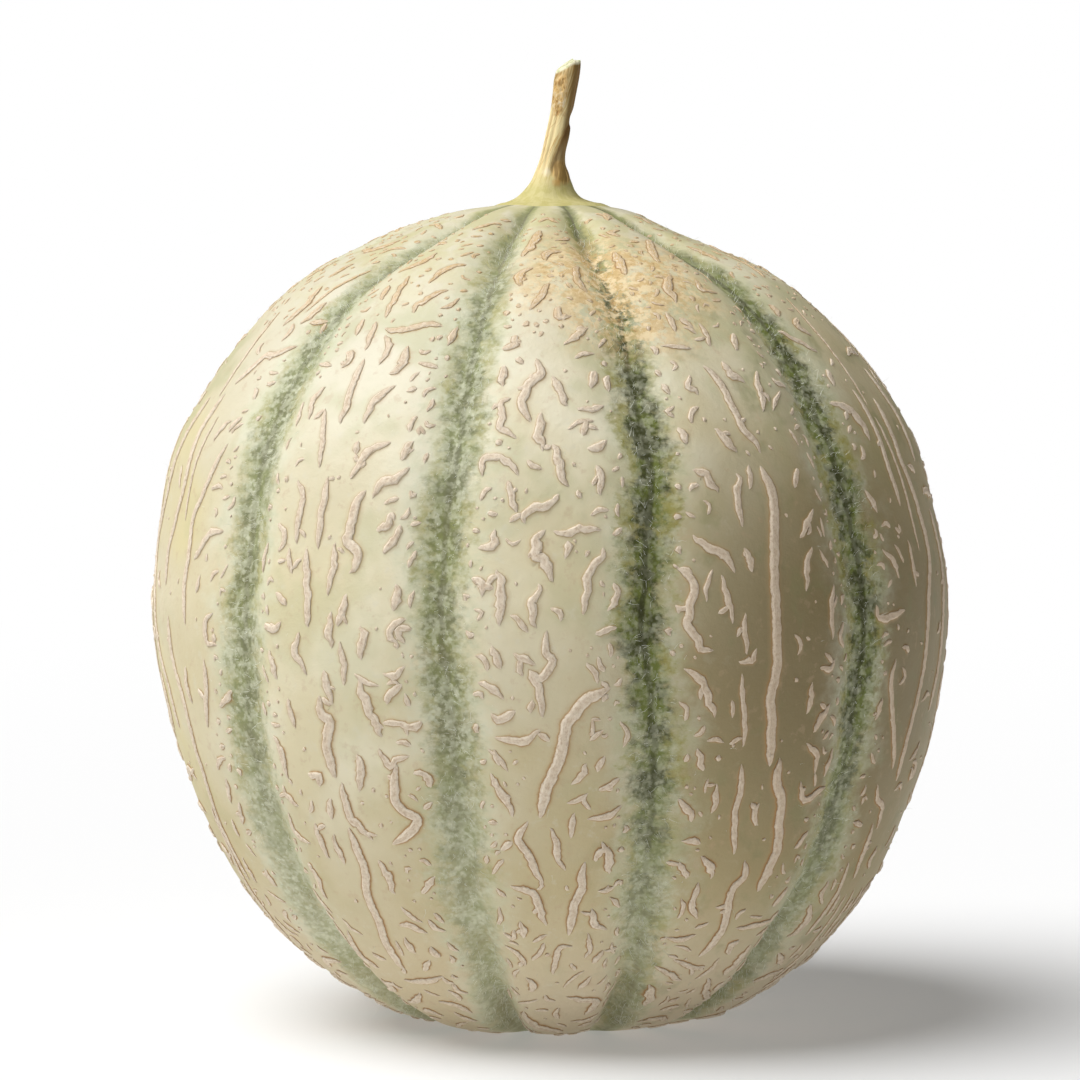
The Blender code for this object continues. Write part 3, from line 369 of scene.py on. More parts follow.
@dataclass
class Rind:
    """The shape of the rind: a smooth outline turned round a leaning axis, then lobed and furrowed.

    The sizes are those of the solid model, whose lobes and furrows this shape follows.
    """

    flat_radius: float = 0.0170
    seat_radius: float = 0.0088
    fruit_radius: float = 0.0709
    fruit_height: float = 0.1446
    crest: Knots = (
        (0.0170, 0.0), (0.0250, 0.0010), (0.0337, 0.0038), (0.0474, 0.0135), (0.0587, 0.0280),
        (0.0673, 0.0495), (0.0709, 0.0710), (0.0693, 0.0880), (0.0636, 0.1068), (0.0476, 0.1283),
        (0.0310, 0.1384), (0.0180, 0.1430), (0.0088, 0.1446),
    )
    outline_steps: int = 24
    widest_height: float = 0.0720
    axis_lean: float = -0.0165
    end_offset: float = 0.0014
    furrows: tuple[float, ...] = (-91.0, -47.6, -14.1, 14.6, 47.5, 90.0, 126.0, 161.0, 197.0, 233.0)
    furrow_wander: float = 0.7
    lobe_depth: Knots = (
        (0.0, 0.0), (0.06, 0.0011), (0.20, 0.0015), (0.45, 0.0011), (0.75, 0.0011), (0.92, 0.0013),
        (1.0, 0.0),
    )
    valley_depth: Knots = (
        (0.0, 0.0), (0.04, 0.0012), (0.10, 0.0026), (0.17, 0.0019), (0.28, 0.0009), (0.75, 0.0008),
        (0.93, 0.0012), (1.0, 0.0),
    )
    valley_width: Knots = (
        (0.0, 0.0012), (0.10, 0.0021), (0.28, 0.0048), (0.75, 0.0050), (0.92, 0.0030), (1.0, 0.0010),
    )
    lobe_roundness: float = 3.0
    # The slow unevenness: height, how often it comes round, and where it starts
    swells: tuple[tuple[float, int, float], ...] = (
        (0.00045, 2, 40.0), (0.00030, 3, 115.0), (0.00020, 5, 20.0),
    )
    swell_twist: float = 9.0
    # The flatter left side and right shoulder: longitude, half the spread in degrees, and the depth
    # along the way
    flats: tuple[tuple[float, float, Knots], ...] = (
        (
            -90.0,
            50.0,
            ((0.0, 0.0), (0.14, 0.0009), (0.30, 0.0012), (0.52, 0.0012), (0.66, 0.0003), (0.90, 0.0004),
             (1.0, 0.0)),
        ),
        (88.0, 52.0, ((0.68, 0.0), (0.82, 0.0012), (0.93, 0.0024), (1.0, 0.0012))),
    )
    end_fade_way: float = 0.020
    # Fine unevenness that only the looks have: (height, size)
    dimples: tuple[Spot, ...] = ((0.00016, 0.011), (0.00007, 0.0042))
    # Half the width of the green stripe in each furrow, and how green each of them is
    stripe_half: Knots = (
        (0.0, 0.0018), (0.12, 0.0033), (0.30, 0.0049), (0.60, 0.0051), (0.82, 0.0037), (0.95, 0.0018),
        (1.0, 0.0012),
    )
    stripe_green: tuple[float, ...] = (0.68, 0.64, 0.70, 1.0, 0.96, 0.80, 0.65, 0.95, 0.70, 0.85)
    green_along: Knots = (
        (0.0, 0.35), (0.18, 0.58), (0.40, 0.94), (0.74, 1.0), (0.83, 0.82), (0.92, 0.62), (1.0, 0.60),
    )
    # How much frost lies on each stripe, and on all of them at each height
    stripe_frost: tuple[float, ...] = (0.60, 0.62, 0.56, 0.32, 0.34, 0.55, 0.40, 0.60, 0.35, 0.50)
    frost_along: Knots = (
        (0.0, 0.15), (0.10, 0.50), (0.25, 0.58), (0.42, 0.20), (0.52, 0.0), (0.60, 0.04), (0.70, 0.14),
        (0.80, 0.05), (0.90, -0.25), (1.0, -0.5),
    )
    # How far beside its furrow each stripe of the front runs, in millimetres to the right
    stripe_shift: dict[int, Knots] = field(
        default_factory=lambda: {
            1: ((0.10, -2.4), (0.38, -2.2), (0.46, -1.6), (0.55, -0.8), (0.70, -1.4), (0.80, -0.8),
                (0.92, 0.0)),
            2: ((0.10, -1.1), (0.30, -0.9), (0.45, 0.1), (0.60, 0.1), (0.68, 1.1), (0.76, 0.8), (0.90, 0.0)),
            3: ((0.12, 2.0), (0.28, 1.2), (0.40, 0.6), (0.44, 0.0), (0.50, -2.5), (0.56, -2.3),
                (0.64, 0.0), (1.0, 0.0)),
            4: ((0.15, 1.0), (0.35, 0.9), (0.42, 1.2), (0.50, 2.5), (0.60, 2.6), (0.72, 2.1),
                (0.82, 1.0), (0.95, 0.0)),
        }
    )

    def __post_init__(self) -> None:
        """Works out the outline once."""
        points = smooth_line(self.crest, self.outline_steps)
        self.outline = [(0.0, *points[0])]
        for before, after in zip(points, points[1:]):
            self.outline.append((self.outline[-1][0] + math.dist(before, after), *after))
        self.ways = [row[0] for row in self.outline]
        self.whole_way = self.ways[-1]

    def outline_at(self, way: float) -> tuple[float, float, float, float]:
        """Reads the crest outline.

        Args:
            way: the distance along the outline.

        Returns:
            Radius, height, and the outward and upward parts of the normal there.
        """
        index = min(max(bisect.bisect_right(self.ways, way), 1), len(self.outline) - 1)
        (w0, r0, z0), (w1, r1, z1) = self.outline[index - 1], self.outline[index]
        share = (way - w0) / (w1 - w0)
        step = math.hypot(r1 - r0, z1 - z0)
        return r0 + (r1 - r0) * share, z0 + (z1 - z0) * share, (z1 - z0) / step, (r0 - r1) / step

    def end_fade(self, way: float) -> float:
        """Is 1 over the body of the fruit and fades to 0 at the flat spot and at the seat."""
        return math.prod(smoothstep(0.0, self.end_fade_way, run) for run in (way, self.whole_way - way))

    def furrow_longitude(self, number: int, way: float) -> float:
        """Gives a furrow's longitude at a way: it wanders a little either side of its meridian.

        Args:
            number: the furrow, counted on past the last one for a second turn.
            way: the distance along the outline.

        Returns:
            The longitude in degrees.
        """
        turns, number = divmod(number, len(self.furrows))
        wave = math.sin(55.0 * way + 2.4 * number) + 0.4 * math.sin(140.0 * way + 1.3 * number)
        return self.furrows[number] + 360.0 * turns + self.furrow_wander * wave * self.end_fade(way)

    def lobe_at(self, longitude: float, way: float) -> tuple[int, float]:
        """Finds the lobe of a place.

        Args:
            longitude: any longitude in degrees.
            way: the distance along the outline.

        Returns:
            The lobe, and the longitude counted on so that it lies between the lobe's furrows.
        """
        longitude = (longitude - self.furrow_longitude(0, way)) % 360.0 + self.furrow_longitude(0, way)
        for lobe in range(len(self.furrows)):
            if longitude <= self.furrow_longitude(lobe + 1, way):
                return lobe, longitude
        return len(self.furrows) - 1, longitude

    def half_width(self, lobe: int, way: float) -> float:
        """Gives half of a lobe's width on its flat map."""
        left, right = self.furrow_longitude(lobe, way), self.furrow_longitude(lobe + 1, way)
        return math.radians(right - left) / 2 * self.outline_at(way)[0]

    def flatten(self, lobe: int, longitude: float, way: float) -> Spot:
        """Puts a place on a lobe's flat map."""
        left, right = self.furrow_longitude(lobe, way), self.furrow_longitude(lobe + 1, way)
        return math.radians(longitude - (left + right) / 2) * self.outline_at(way)[0], way

    def unflatten(self, lobe: int, across: float, way: float) -> float:
        """Gives the longitude of a place on a lobe's flat map."""
        left, right = self.furrow_longitude(lobe, way), self.furrow_longitude(lobe + 1, way)
        return (left + right) / 2 + math.degrees(across / self.outline_at(way)[0])

    def from_furrow(self, lobe: int, longitude: float, way: float) -> tuple[float, float]:
        """Measures how a place lies between its lobe's furrows.

        Args:
            lobe: the lobe.
            longitude: the longitude, between the lobe's furrows.
            way: the distance along the outline.

        Returns:
            The distance to the nearer furrow in metres, and the share of the lobe's width from its left.
        """
        left, right = self.furrow_longitude(lobe, way), self.furrow_longitude(lobe + 1, way)
        share = (longitude - left) / (right - left)
        return min(share, 1.0 - share) * math.radians(right - left) * self.outline_at(way)[0], share

    def point(self, lobe: int, longitude: float, way: float, rise: float = 0.0) -> Place:
        """Places a point on the rind or above it.

        Args:
            lobe: the lobe.
            longitude: the longitude, between the lobe's furrows.
            way: the distance along the outline.
            rise: how far above the rind, along the outline's normal.

        Returns:
            The point in space.
        """
        radius, height, outward, upward = self.outline_at(way)
        distance, share = self.from_furrow(lobe, longitude, way)
        place = way / self.whole_way
        sink = read_curve(self.lobe_depth, place) * abs(2.0 * share - 1.0) ** self.lobe_roundness
        width = read_curve(self.valley_width, place)
        sink += read_curve(self.valley_depth, place) * math.exp(-((distance / width) ** 2))
        fade = self.end_fade(way)
        waves = (
            h * math.cos(math.radians(n * longitude + phase) + self.swell_twist * n * way)
            for h, n, phase in self.swells
        )
        angle = math.radians(longitude)
        around = Vector((radius * math.sin(angle), -radius * math.cos(angle), height))
        uneven = sum(tall * noise.noise(around / size) for tall, size in self.dimples)
        flat = 0.0
        for middle, spread, depth in self.flats:
            turned = (longitude - middle + 180.0) % 360.0 - 180.0
            flat += read_curve(depth, place) * math.exp(-((turned / spread) ** 2))
        stand = rise + fade * (sum(waves) + uneven - flat) - sink
        radius += outward * stand
        height += upward * stand
        middle = self.axis_lean * (height - self.widest_height)
        middle += self.end_offset * (1.0 - radius / self.fruit_radius)
        return middle + radius * math.sin(angle), -radius * math.cos(angle), max(height, 0.0)

    def stripe_at(self, lobe: int, longitude: float, way: float) -> tuple[float, float, float, float]:
        """Says how a place lies to the green stripe of the nearer furrow.

        Args:
            lobe: the lobe.
            longitude: the longitude, between the lobe's furrows.
            way: the distance along the outline.

        Returns:
            The distance in half widths of the stripe, the same with a minus to the left of the furrow,
            how green the stripe is there and how frosty.
        """
        distance, share = self.from_furrow(lobe, longitude, way)
        place = way / self.whole_way
        nearer = (lobe + (share > 0.5)) % len(self.furrows)
        green = self.stripe_green[nearer] * read_curve(self.green_along, place)
        frost = max(0.0, self.stripe_frost[nearer] + read_curve(self.frost_along, place))
        across = (-distance if share > 0.5 else distance) - self.beside(nearer, way)
        across /= read_curve(self.stripe_half, place)
        return abs(across), across, green, frost

    def beside(self, number: int, way: float) -> float:
        """Gives how far to the right of its furrow a stripe runs, in metres."""
        knots = self.stripe_shift.get(number % len(self.furrows))
        return read_curve(knots, way / self.whole_way) * MM if knots else 0.0


@dataclass
class Crack:
    """One corky crack of the net, as a middle line on its lobe's flat map."""

    lobe: int
    points: list[Spot]
    width: float


class Taken:
    """The spots of a lobe's flat map that cracks already cover."""

    CELL = 0.0035

    def __init__(self) -> None:
        """Starts with nothing covered."""
        self.cells: dict[tuple[int, int], list[tuple[Spot, float]]] = defaultdict(list)

    def add(self, line: Iterable[Spot], width: float) -> None:
        """Covers the spots of a line."""
        for spot in line:
            self.cells[int(spot[0] // self.CELL), int(spot[1] // self.CELL)].append((spot, width))

    def is_free(self, spot: Spot, width: float, gap: float) -> bool:
        """Tests a spot of a new crack.

        Args:
            spot: a spot on the flat map.
            width: the new crack's width.
            gap: the bare rind that is left between two cracks.

        Returns:
            True if nothing that is covered lies too near.
        """
        column, row = int(spot[0] // self.CELL), int(spot[1] // self.CELL)
        for i in (column - 1, column, column + 1):
            for j in (row - 1, row, row + 1):
                for other, other_width in self.cells.get((i, j), ()):
                    if math.dist(spot, other) <= (width + other_width) / 2 + gap:
                        return False
        return True


@dataclass(frozen=True)
class CrackKind:
    """How the cracks of one kind are drawn: how many in a lobe, and their spread of sizes."""

    front: int
    back: int
    least: float
    most: float
    thin: float
    wide: float
    tilt: float
    bend: float


class Belt(Enum):
    """Where on a lobe the small marks of a kind lie."""

    ANYWHERE = "anywhere"
    BESIDE_STRIPES = "beside the stripes"
    LOW = "low on the fruit"
    HIGH = "round the stalk"


@dataclass(frozen=True)
class MarkKind:
    """How the small marks that only the looks have are drawn."""

    belt: Belt
    front: int
    rest: int
    least: float
    most: float
    thin: float
    wide: float
    tilt: float
    bend: float


@dataclass
class Net:
    """The raised net: read cracks on the front, drawn ones elsewhere, and small marks between them.

    The read and the large drawn cracks lie where the solid model has them, because the same rule
    places them with the same seed.
    """

    rind: Rind
    widening: float = 1.3
    gap: float = 0.0007
    least_crack: float = 0.0034
    blossom_margin: float = 0.0100
    stalk_margin: float = 0.0080
    furrow_share: float = 0.75
    kinds: tuple[CrackKind, ...] = (
        CrackKind(0, 4, 0.022, 0.055, 0.0013, 0.0018, 5.0, 9.0),
        CrackKind(10, 32, 0.0065, 0.0130, 0.0012, 0.0017, 20.0, 42.0),
        CrackKind(12, 24, 0.0045, 0.0065, 0.0012, 0.0016, 60.0, 60.0),
    )
    tries: int = 40
    crack_step: float = 0.0050
    long_step: float = 0.0095
    seed: int = 41
    low_way: float = 0.040
    low_tilt: float = 70.0
    mark_kinds: tuple[MarkKind, ...] = (
        MarkKind(Belt.ANYWHERE, 0, 12, 0.0120, 0.0340, 0.0006, 0.0010, 3.0, 4.0),
        MarkKind(Belt.ANYWHERE, 22, 22, 0.0028, 0.0060, 0.0008, 0.0012, 24.0, 45.0),
        MarkKind(Belt.LOW, 60, 56, 0.0025, 0.0075, 0.0006, 0.0011, 75.0, 35.0),
        MarkKind(Belt.HIGH, 64, 56, 0.0010, 0.0032, 0.0005, 0.0009, 60.0, 45.0),
        MarkKind(Belt.BESIDE_STRIPES, 70, 60, 0.0013, 0.0038, 0.0006, 0.0010, 60.0, 60.0),
        MarkKind(Belt.BESIDE_STRIPES, 45, 40, 0.0006, 0.0010, 0.0004, 0.0007, 90.0, 0.0),
        MarkKind(Belt.ANYWHERE, 30, 26, 0.0006, 0.0014, 0.0004, 0.0007, 40.0, 30.0),
    )
    mark_seed: int = 907
    mark_gap: float = 0.00025
    mark_tries: int = 14
    # The lobes that the photograph shows whole: the long thin marks are only on the others
    whole_lobes: tuple[int, ...] = (1, 2, 3)
    # Read cracks whose ends lie nearer than this run on as one
    join_gap: float = 0.0021
    stripe_share: float = 0.80
    # The ridge's cross-section: offsets in half widths of the cork, and heights in ridge heights
    section: Knots = (
        (-2.30, -0.04), (-1.60, 0.04), (-1.14, 0.09), (-0.92, 0.36), (-0.70, 0.84), (-0.36, 1.00),
        (0.00, 0.88), (0.36, 1.00), (0.70, 0.84), (0.92, 0.36), (1.14, 0.09), (1.60, 0.04),
        (2.30, -0.04),
    )
    mesh_step: float = 0.00062
    ridge_height: float = 0.00008
    ridge_height_by_width: float = 0.19
    # Near the stalk the ridges are flatter by this share
    flatter: float = 0.45
    flatter_from: Spot = (0.70, 0.84)
    # Low on the fruit they are taller by this share
    taller: float = 0.22
    taller_from: Spot = (0.48, 0.26)
    end_sink: float = 0.00008
    wobble: float = 0.36
    wobble_long: float = 0.4
    wobble_pitch: float = 620.0
    # The wavering of the two edges: share, size, how differently they waver, and which pattern
    edge_waves: tuple[tuple[float, float, float, float], ...] = (
        (1.0, 0.0014, 7.0, 0.0), (0.8, 0.0006, 5.0, 0.3),
    )
    crest_wave: Spot = (0.35, 0.0010)
    # How bluntly the ends taper in width and in height
    bluntness: Spot = (0.7, 0.40)
    # The cork layer's value on a crest and on an end, and how far apart the cracks' grains are read
    crest_cork: float = 1.6
    end_cork: float = 0.6
    grain_apart: float = 3.7
    # How much the edges waver, for short cracks and for long ones, and how long the pointed ends are
    waver: Spot = (0.52, 0.13)
    long_crack: Spot = (0.006, 0.018)
    point_length: float = 0.0042
    # Short twigs that branch off the cracks: their share, length and width
    twig_share: float = 0.42
    twig_length: Spot = (0.0012, 0.0032)
    twig_width: Spot = (0.0007, 0.0011)
    twig_turn: Spot = (35.0, 80.0)
    twig_bend: float = 25.0
    # Cracks longer than this may have two twigs
    two_twigs: float = 0.011
    # The part of the way where each kind of small mark lies
    belts: dict[Belt, Spot] = field(
        default_factory=lambda: {
            Belt.LOW: (0.05, 0.24),
            Belt.HIGH: (0.76, 0.955),
            Belt.BESIDE_STRIPES: (0.13, 0.93),
            Belt.ANYWHERE: (0.08, 0.93),
        }
    )
    belt_width: float = 0.9
    # How far from a stripe's middle the marks beside it lie: shares of its half width, and metres more
    stripe_edge: Spot = (0.85, 1.2)
    stripe_stray: float = 0.0024
    pieces: list[bpy.types.Object] = field(default_factory=list)

    def is_clear(self, spot: Spot, width: float, lobe: int, taken: Taken) -> bool:
        """Says whether a spot of a crack is inside its lobe and clear of the cracks already there."""
        x, y = spot
        if not self.blossom_margin < y < self.rind.whole_way - self.stalk_margin:
            return False
        valley = read_curve(self.rind.valley_width, y / self.rind.whole_way)
        if abs(x) > self.rind.half_width(lobe, y) - self.furrow_share * valley - width / 2:
            return False
        return taken.is_free(spot, width, self.gap)

    def clear_part(self, points: list[Spot], width: float, lobe: int, taken: Taken) -> list[Spot]:
        """Covers the stretch of a crack that is clear of the others, as the solid model does.

        Args:
            points: the crack's middle line.
            width: its width there.
            lobe: its lobe.
            taken: what is covered already.

        Returns:
            The points that are kept, or an empty list.
        """
        kept = list(points)
        while len(kept) > 1 and not self.is_clear(kept[0], width, lobe, taken):
            kept.pop(0)
        while len(kept) > 1 and not self.is_clear(kept[-1], width, lobe, taken):
            kept.pop()
        if len(kept) < 3 or run_length(kept) < self.least_crack:
            return []
        fine = dense(dense(kept))
        if not all(self.is_clear(spot, width, lobe, taken) for spot in fine):
            return []
        taken.add(dense(fine), width)
        return kept

    def read(self, lobe: int, taken: Taken) -> list[Crack]:
        """Lists the cracks of a lobe that were read from the photograph, whole."""
        found = []
        for width, *spots in READ_CRACKS.get(lobe, ()):
            points = [self.rind.flatten(lobe, longitude, way * MM) for longitude, way in spots]
            if len(points) < 4:
                points = dense(points)
            self.clear_part(points, width * MM * self.widening, lobe, taken)
            if found and math.dist(found[-1].points[-1], points[0]) < self.join_gap:
                found[-1].points += points
            else:
                found.append(Crack(lobe, points, width * MM))
        return found

    def wander(
        self, start: Spot, length: float, tilt: float, bend: float, draw: random.Random
    ) -> list[Spot]:
        """Draws a middle line that turns a little at each step.

        Args:
            start: where it starts.
            length: how long it runs.
            tilt: the first heading, in degrees from the meridian.
            bend: the spread of the turn at each step, in degrees.
            draw: the source of random numbers.

        Returns:
            The line's points.
        """
        step = self.long_step if length > 2 * self.long_step else self.crack_step
        steps = max(2, round(length / step))
        heading = math.radians(tilt)
        points = [start]
        for _ in range(steps):
            heading += math.radians(draw.gauss(0.0, bend)) * (1.0 if length < 2 * self.long_step else 0.6)
            x, y = points[-1]
            points.append((x + math.sin(heading) * length / steps, y + math.cos(heading) * length / steps))
        return points

    def drawn(self, lobe: int, taken: Taken) -> list[Crack]:
        """Draws the large cracks that fill the rest of a lobe, longest first."""
        draw = random.Random(self.seed + lobe)
        found = []
        for kind in self.kinds:
            for _ in range(kind.front if lobe in READ_CRACKS else kind.back):
                for _ in range(self.tries):
                    length = draw.uniform(kind.least, kind.most)
                    width = draw.uniform(kind.thin, kind.wide) * self.widening
                    way = draw.uniform(self.blossom_margin, self.rind.whole_way - self.stalk_margin)
                    across = draw.uniform(-1.0, 1.0) * self.rind.half_width(lobe, way)
                    low = smoothstep(self.low_way, self.low_way / 2, way)
                    spread = kind.tilt + (self.low_tilt - kind.tilt) * low
                    points = self.wander((across, way), length, draw.gauss(0.0, spread), kind.bend, draw)
                    if self.clear_part(points, width, lobe, taken) == points:
                        found.append(Crack(lobe, points, width / self.widening))
                        break
        return found

    def mark_place(self, lobe: int, belt: Belt, draw: random.Random) -> Spot:
        """Draws where a small mark starts.

        Args:
            lobe: its lobe.
            belt: the part of the lobe where such marks lie.
            draw: the source of random numbers.

        Returns:
            A spot on the lobe's flat map.
        """
        way = draw.uniform(*self.belts[belt]) * self.rind.whole_way
        half = self.rind.half_width(lobe, way)
        if belt is not Belt.BESIDE_STRIPES:
            return draw.uniform(-self.belt_width, self.belt_width) * half, way
        stripe = read_curve(self.rind.stripe_half, way / self.rind.whole_way)
        inward = stripe * draw.uniform(*self.stripe_edge) + abs(draw.gauss(0.0, self.stripe_stray))
        side = draw.choice((-1.0, 1.0))
        return side * max(half - inward, 0.0) + self.rind.beside(lobe + (side > 0.0), way), way

    def is_off_stripes(self, lobe: int, points: list[Spot]) -> bool:
        """Says whether a mark keeps off the green stripes on either side of its lobe."""
        for x, y in points:
            if not 0.0 < y < self.rind.whole_way:
                return False
            left, right = self.rind.beside(lobe, y), self.rind.beside(lobe + 1, y)
            stripe = read_curve(self.rind.stripe_half, y / self.rind.whole_way)
            free = self.rind.half_width(lobe, y) - self.stripe_share * stripe
            if not left - free < x < right + free:
                return False
        return True

    def small(self, lobe: int, taken: Taken) -> list[Crack]:
        """Draws the worms, specks and wrinkles that only the looks have."""
        draw = random.Random(self.mark_seed + lobe)
        found = []
        for kind in self.mark_kinds:
            for _ in range(kind.front if lobe in self.whole_lobes else kind.rest):
                for _ in range(self.mark_tries):
                    start = self.mark_place(lobe, kind.belt, draw)
                    length = draw.uniform(kind.least, kind.most)
                    width = draw.uniform(kind.thin, kind.wide)
                    points = self.wander(start, length, draw.gauss(0.0, kind.tilt), kind.bend, draw)
                    if not self.is_off_stripes(lobe, points):
                        continue
                    if all(taken.is_free(spot, width, self.mark_gap) for spot in dense(points)):
                        taken.add(dense(dense(points)), width)
                        found.append(Crack(lobe, points, width))
                        break
        return found

    def twigs(self, cracks: list[Crack], lobe: int) -> list[Crack]:
        """Lets short twigs branch off the cracks of a lobe.

        Args:
            cracks: the cracks they start on.
            lobe: their lobe.

        Returns:
            The twigs.
        """
        draw = random.Random(self.mark_seed + 100 + lobe)
        found = []
        for crack in cracks:
            for _ in range(1 + (run_length(crack.points) > self.two_twigs)):
                number = draw.randrange(len(crack.points) - 1)
                share = draw.random()
                length = draw.uniform(*self.twig_length)
                width = draw.uniform(*self.twig_width)
                turn = draw.choice((-1.0, 1.0)) * draw.uniform(*self.twig_turn)
                if draw.random() > self.twig_share:
                    continue
                (x0, y0), (x1, y1) = crack.points[number], crack.points[number + 1]
                heading = math.degrees(math.atan2(x1 - x0, y1 - y0)) + turn
                start = (x0 + (x1 - x0) * share, y0 + (y1 - y0) * share)
                points = self.wander(start, length, heading, self.twig_bend, draw)
                found.append(Crack(lobe, points, width))
        return found

    def ridge(self, crack: Crack, seed: int, mesh: "MeshParts") -> None:
        """Adds one crack's raised, closed ridge to a mesh.

        Args:
            crack: the crack.
            seed: a number that sets this crack's unevenness.
            mesh: what the ridge is added to.
        """
        length = run_length(crack.points)
        line = even_line(smooth_line(crack.points, 6), self.mesh_step)
        long = smoothstep(*self.long_crack, length)
        shake = self.wobble * crack.width * (1.0 - (1.0 - self.wobble_long) * long)
        pitch = self.wobble_pitch
        line = [
            tuple(
                number + shake * noise.noise((x * pitch, y * pitch, seed + more))
                for number, more in ((x, 0.0), (y, 0.5))
            )
            for x, y in line
        ]
        place = crack.points[0][1] / self.rind.whole_way
        tall = self.ridge_height + self.ridge_height_by_width * crack.width
        tall *= 1.0 - self.flatter * smoothstep(*self.flatter_from, place)
        tall *= 1.0 + self.taller * smoothstep(*self.taller_from, place)
        waver = self.waver[0] + (self.waver[1] - self.waver[0]) * long
        point = min(length / 2, self.point_length)
        apart = seed * self.grain_apart
        rings = []
        for number in range(1, len(line) - 1):
            (x0, y0), (x, y), (x1, y1) = line[number - 1 : number + 2]
            span = math.hypot(x1 - x0, y1 - y0) or 1e-9
            side = ((y1 - y0) / span, -(x1 - x0) / span)
            along = number / (len(line) - 1)
            run = along * length
            taper = math.sin(math.pi / 2 * min(1.0, min(along, 1.0 - along) * length / point))
            wide, high = (taper**power for power in self.bluntness)
            high *= 1.0 + self.crest_wave[0] * noise.noise((run / self.crest_wave[1], 3.1, seed))
            ring = []
            for offset, height in self.section:
                uneven = 1.0
                for share, size, differ, more in self.edge_waves:
                    where = (run / size, math.copysign(differ, offset), seed + more)
                    uneven += share * waver * noise.noise(where)
                reach = offset * crack.width / 2 * uneven * wide
                spot = (x + side[0] * reach, y + side[1] * reach)
                grain = (run / MM, offset * crack.width / 2 / MM, apart)
                cork = self.crest_cork - abs(offset)
                ring.append(mesh.add(self.rind, crack.lobe, spot, height * tall * high, cork, grain))
            rings.append(ring)
        first, last = (
            mesh.add(self.rind, crack.lobe, spot, -self.end_sink, self.end_cork, (run / MM, 0.0, apart))
            for spot, run in ((line[0], 0.0), (line[-1], length))
        )
        for before, after in zip(rings, rings[1:]):
            mesh.faces += quads(before, after)
        mesh.faces += [(first, b, a) for a, b in zip(rings[0], [*rings[0][1:], rings[0][0]])]
        mesh.faces += [(last, a, b) for a, b in zip(rings[-1], [*rings[-1][1:], rings[-1][0]])]

    def build(self, material: bpy.types.Material) -> list[bpy.types.Object]:
        """Builds the net, one piece for each lobe.

        Args:
            material: the rind's material, which also paints the cork.

        Returns:
            The pieces.
        """
        for lobe in range(len(self.rind.furrows)):
            taken = Taken()
            cracks = self.read(lobe, taken) + self.drawn(lobe, taken)
            cracks += self.twigs(cracks, lobe)
            cracks += self.small(lobe, taken)
            mesh = MeshParts()
            for number, crack in enumerate(cracks):
                self.ridge(crack, 17 * lobe + number, mesh)
            piece = mesh.finish(f"net_of_lobe_{lobe + 1}", material)
            self.pieces.append(piece)
            LOG.info("%s: %d cracks and marks, %d faces", piece.name, len(cracks), len(piece.data.polygons))
        return self.pieces


class MeshParts:
    """A mesh of the rind as it grows, with what its paint reads at each point."""

    def __init__(self) -> None:
        """Starts an empty mesh."""
        self.points: list[Place] = []
        self.faces: list[tuple[int, ...]] = []
        names = ("stripe", "across", "green", "frost", "cork")
        self.layers: dict[str, list[float]] = {name: [] for name in names}
        self.grain: list[Place] = []

    def paint(self, rind: Rind, lobe: int, longitude: float, way: float, cork: float, grain: Place) -> None:
        """Notes what the paint reads at the newest point.

        Args:
            rind: the rind's shape.
            lobe: the point's lobe.
            longitude: its longitude.
            way: its distance along the outline.
            cork: -1 on the bare rind, rising to 1.6 on a crack's crest.
            grain: the place along and across the crack, and its seed.
        """
        for layer, value in zip(self.layers.values(), (*rind.stripe_at(lobe, longitude, way), cork)):
            layer.append(value)
        self.grain.append(grain)

    def add(self, rind: Rind, lobe: int, spot: Spot, rise: float, cork: float, grain: Place) -> int:
        """Adds a point of a ridge.

        Args:
            rind: the rind's shape.
            lobe: the lobe whose flat map the spot is on.
            spot: the spot.
            rise: how far above the rind.
            cork: see paint.
            grain: see paint.

        Returns:
            The new point's number.
        """
        lobe, longitude = rind.lobe_at(rind.unflatten(lobe, *spot), spot[1])
        self.points.append(rind.point(lobe, longitude, spot[1], rise))
        self.paint(rind, lobe, longitude, spot[1], cork, grain)
        return len(self.points) - 1

    def store(self, mesh: bpy.types.Mesh) -> None:
        """Writes the painted layers onto a finished mesh."""
        for name, values in self.layers.items():
            mesh.attributes.new(name, "FLOAT", "POINT").data.foreach_set("value", values)
        grain = mesh.attributes.new("grain", "FLOAT_VECTOR", "POINT")
        grain.data.foreach_set("vector", [number for place in self.grain for number in place])

    def finish(self, name: str, material: bpy.types.Material) -> bpy.types.Object:
        """Makes the object.

        Args:
            name: the piece's name.
            material: what it is painted with.

        Returns:
            The new object, at the origin.
        """
        mesh = bpy.data.meshes.new(name)
        mesh.from_pydata(self.points, [], self.faces)
        self.store(mesh)
        mesh.materials.append(material)
        piece = bpy.data.objects.new(name, mesh)
        bpy.context.scene.collection.objects.link(piece)
        turn_faces_out(piece)
        return piece


def select_only(piece: bpy.types.Object) -> None:
    """Deselects everything and then selects one piece."""
    bpy.ops.object.select_all(action="DESELECT")
    piece.select_set(True)
    bpy.context.view_layer.objects.active = piece


def turn_faces_out(piece: bpy.types.Object, smooth_angle: float = 60.0) -> None:
    """Turns a closed piece's faces outwards and shades it smooth below an angle in degrees."""
    select_only(piece)
    bpy.ops.object.mode_set(mode="EDIT")
    bpy.ops.mesh.select_all(action="SELECT")
    bpy.ops.mesh.normals_make_consistent(inside=False)
    bpy.ops.object.mode_set(mode="OBJECT")
    bpy.ops.object.shade_smooth_by_angle(angle=math.radians(smooth_angle))
    piece.select_set(False)


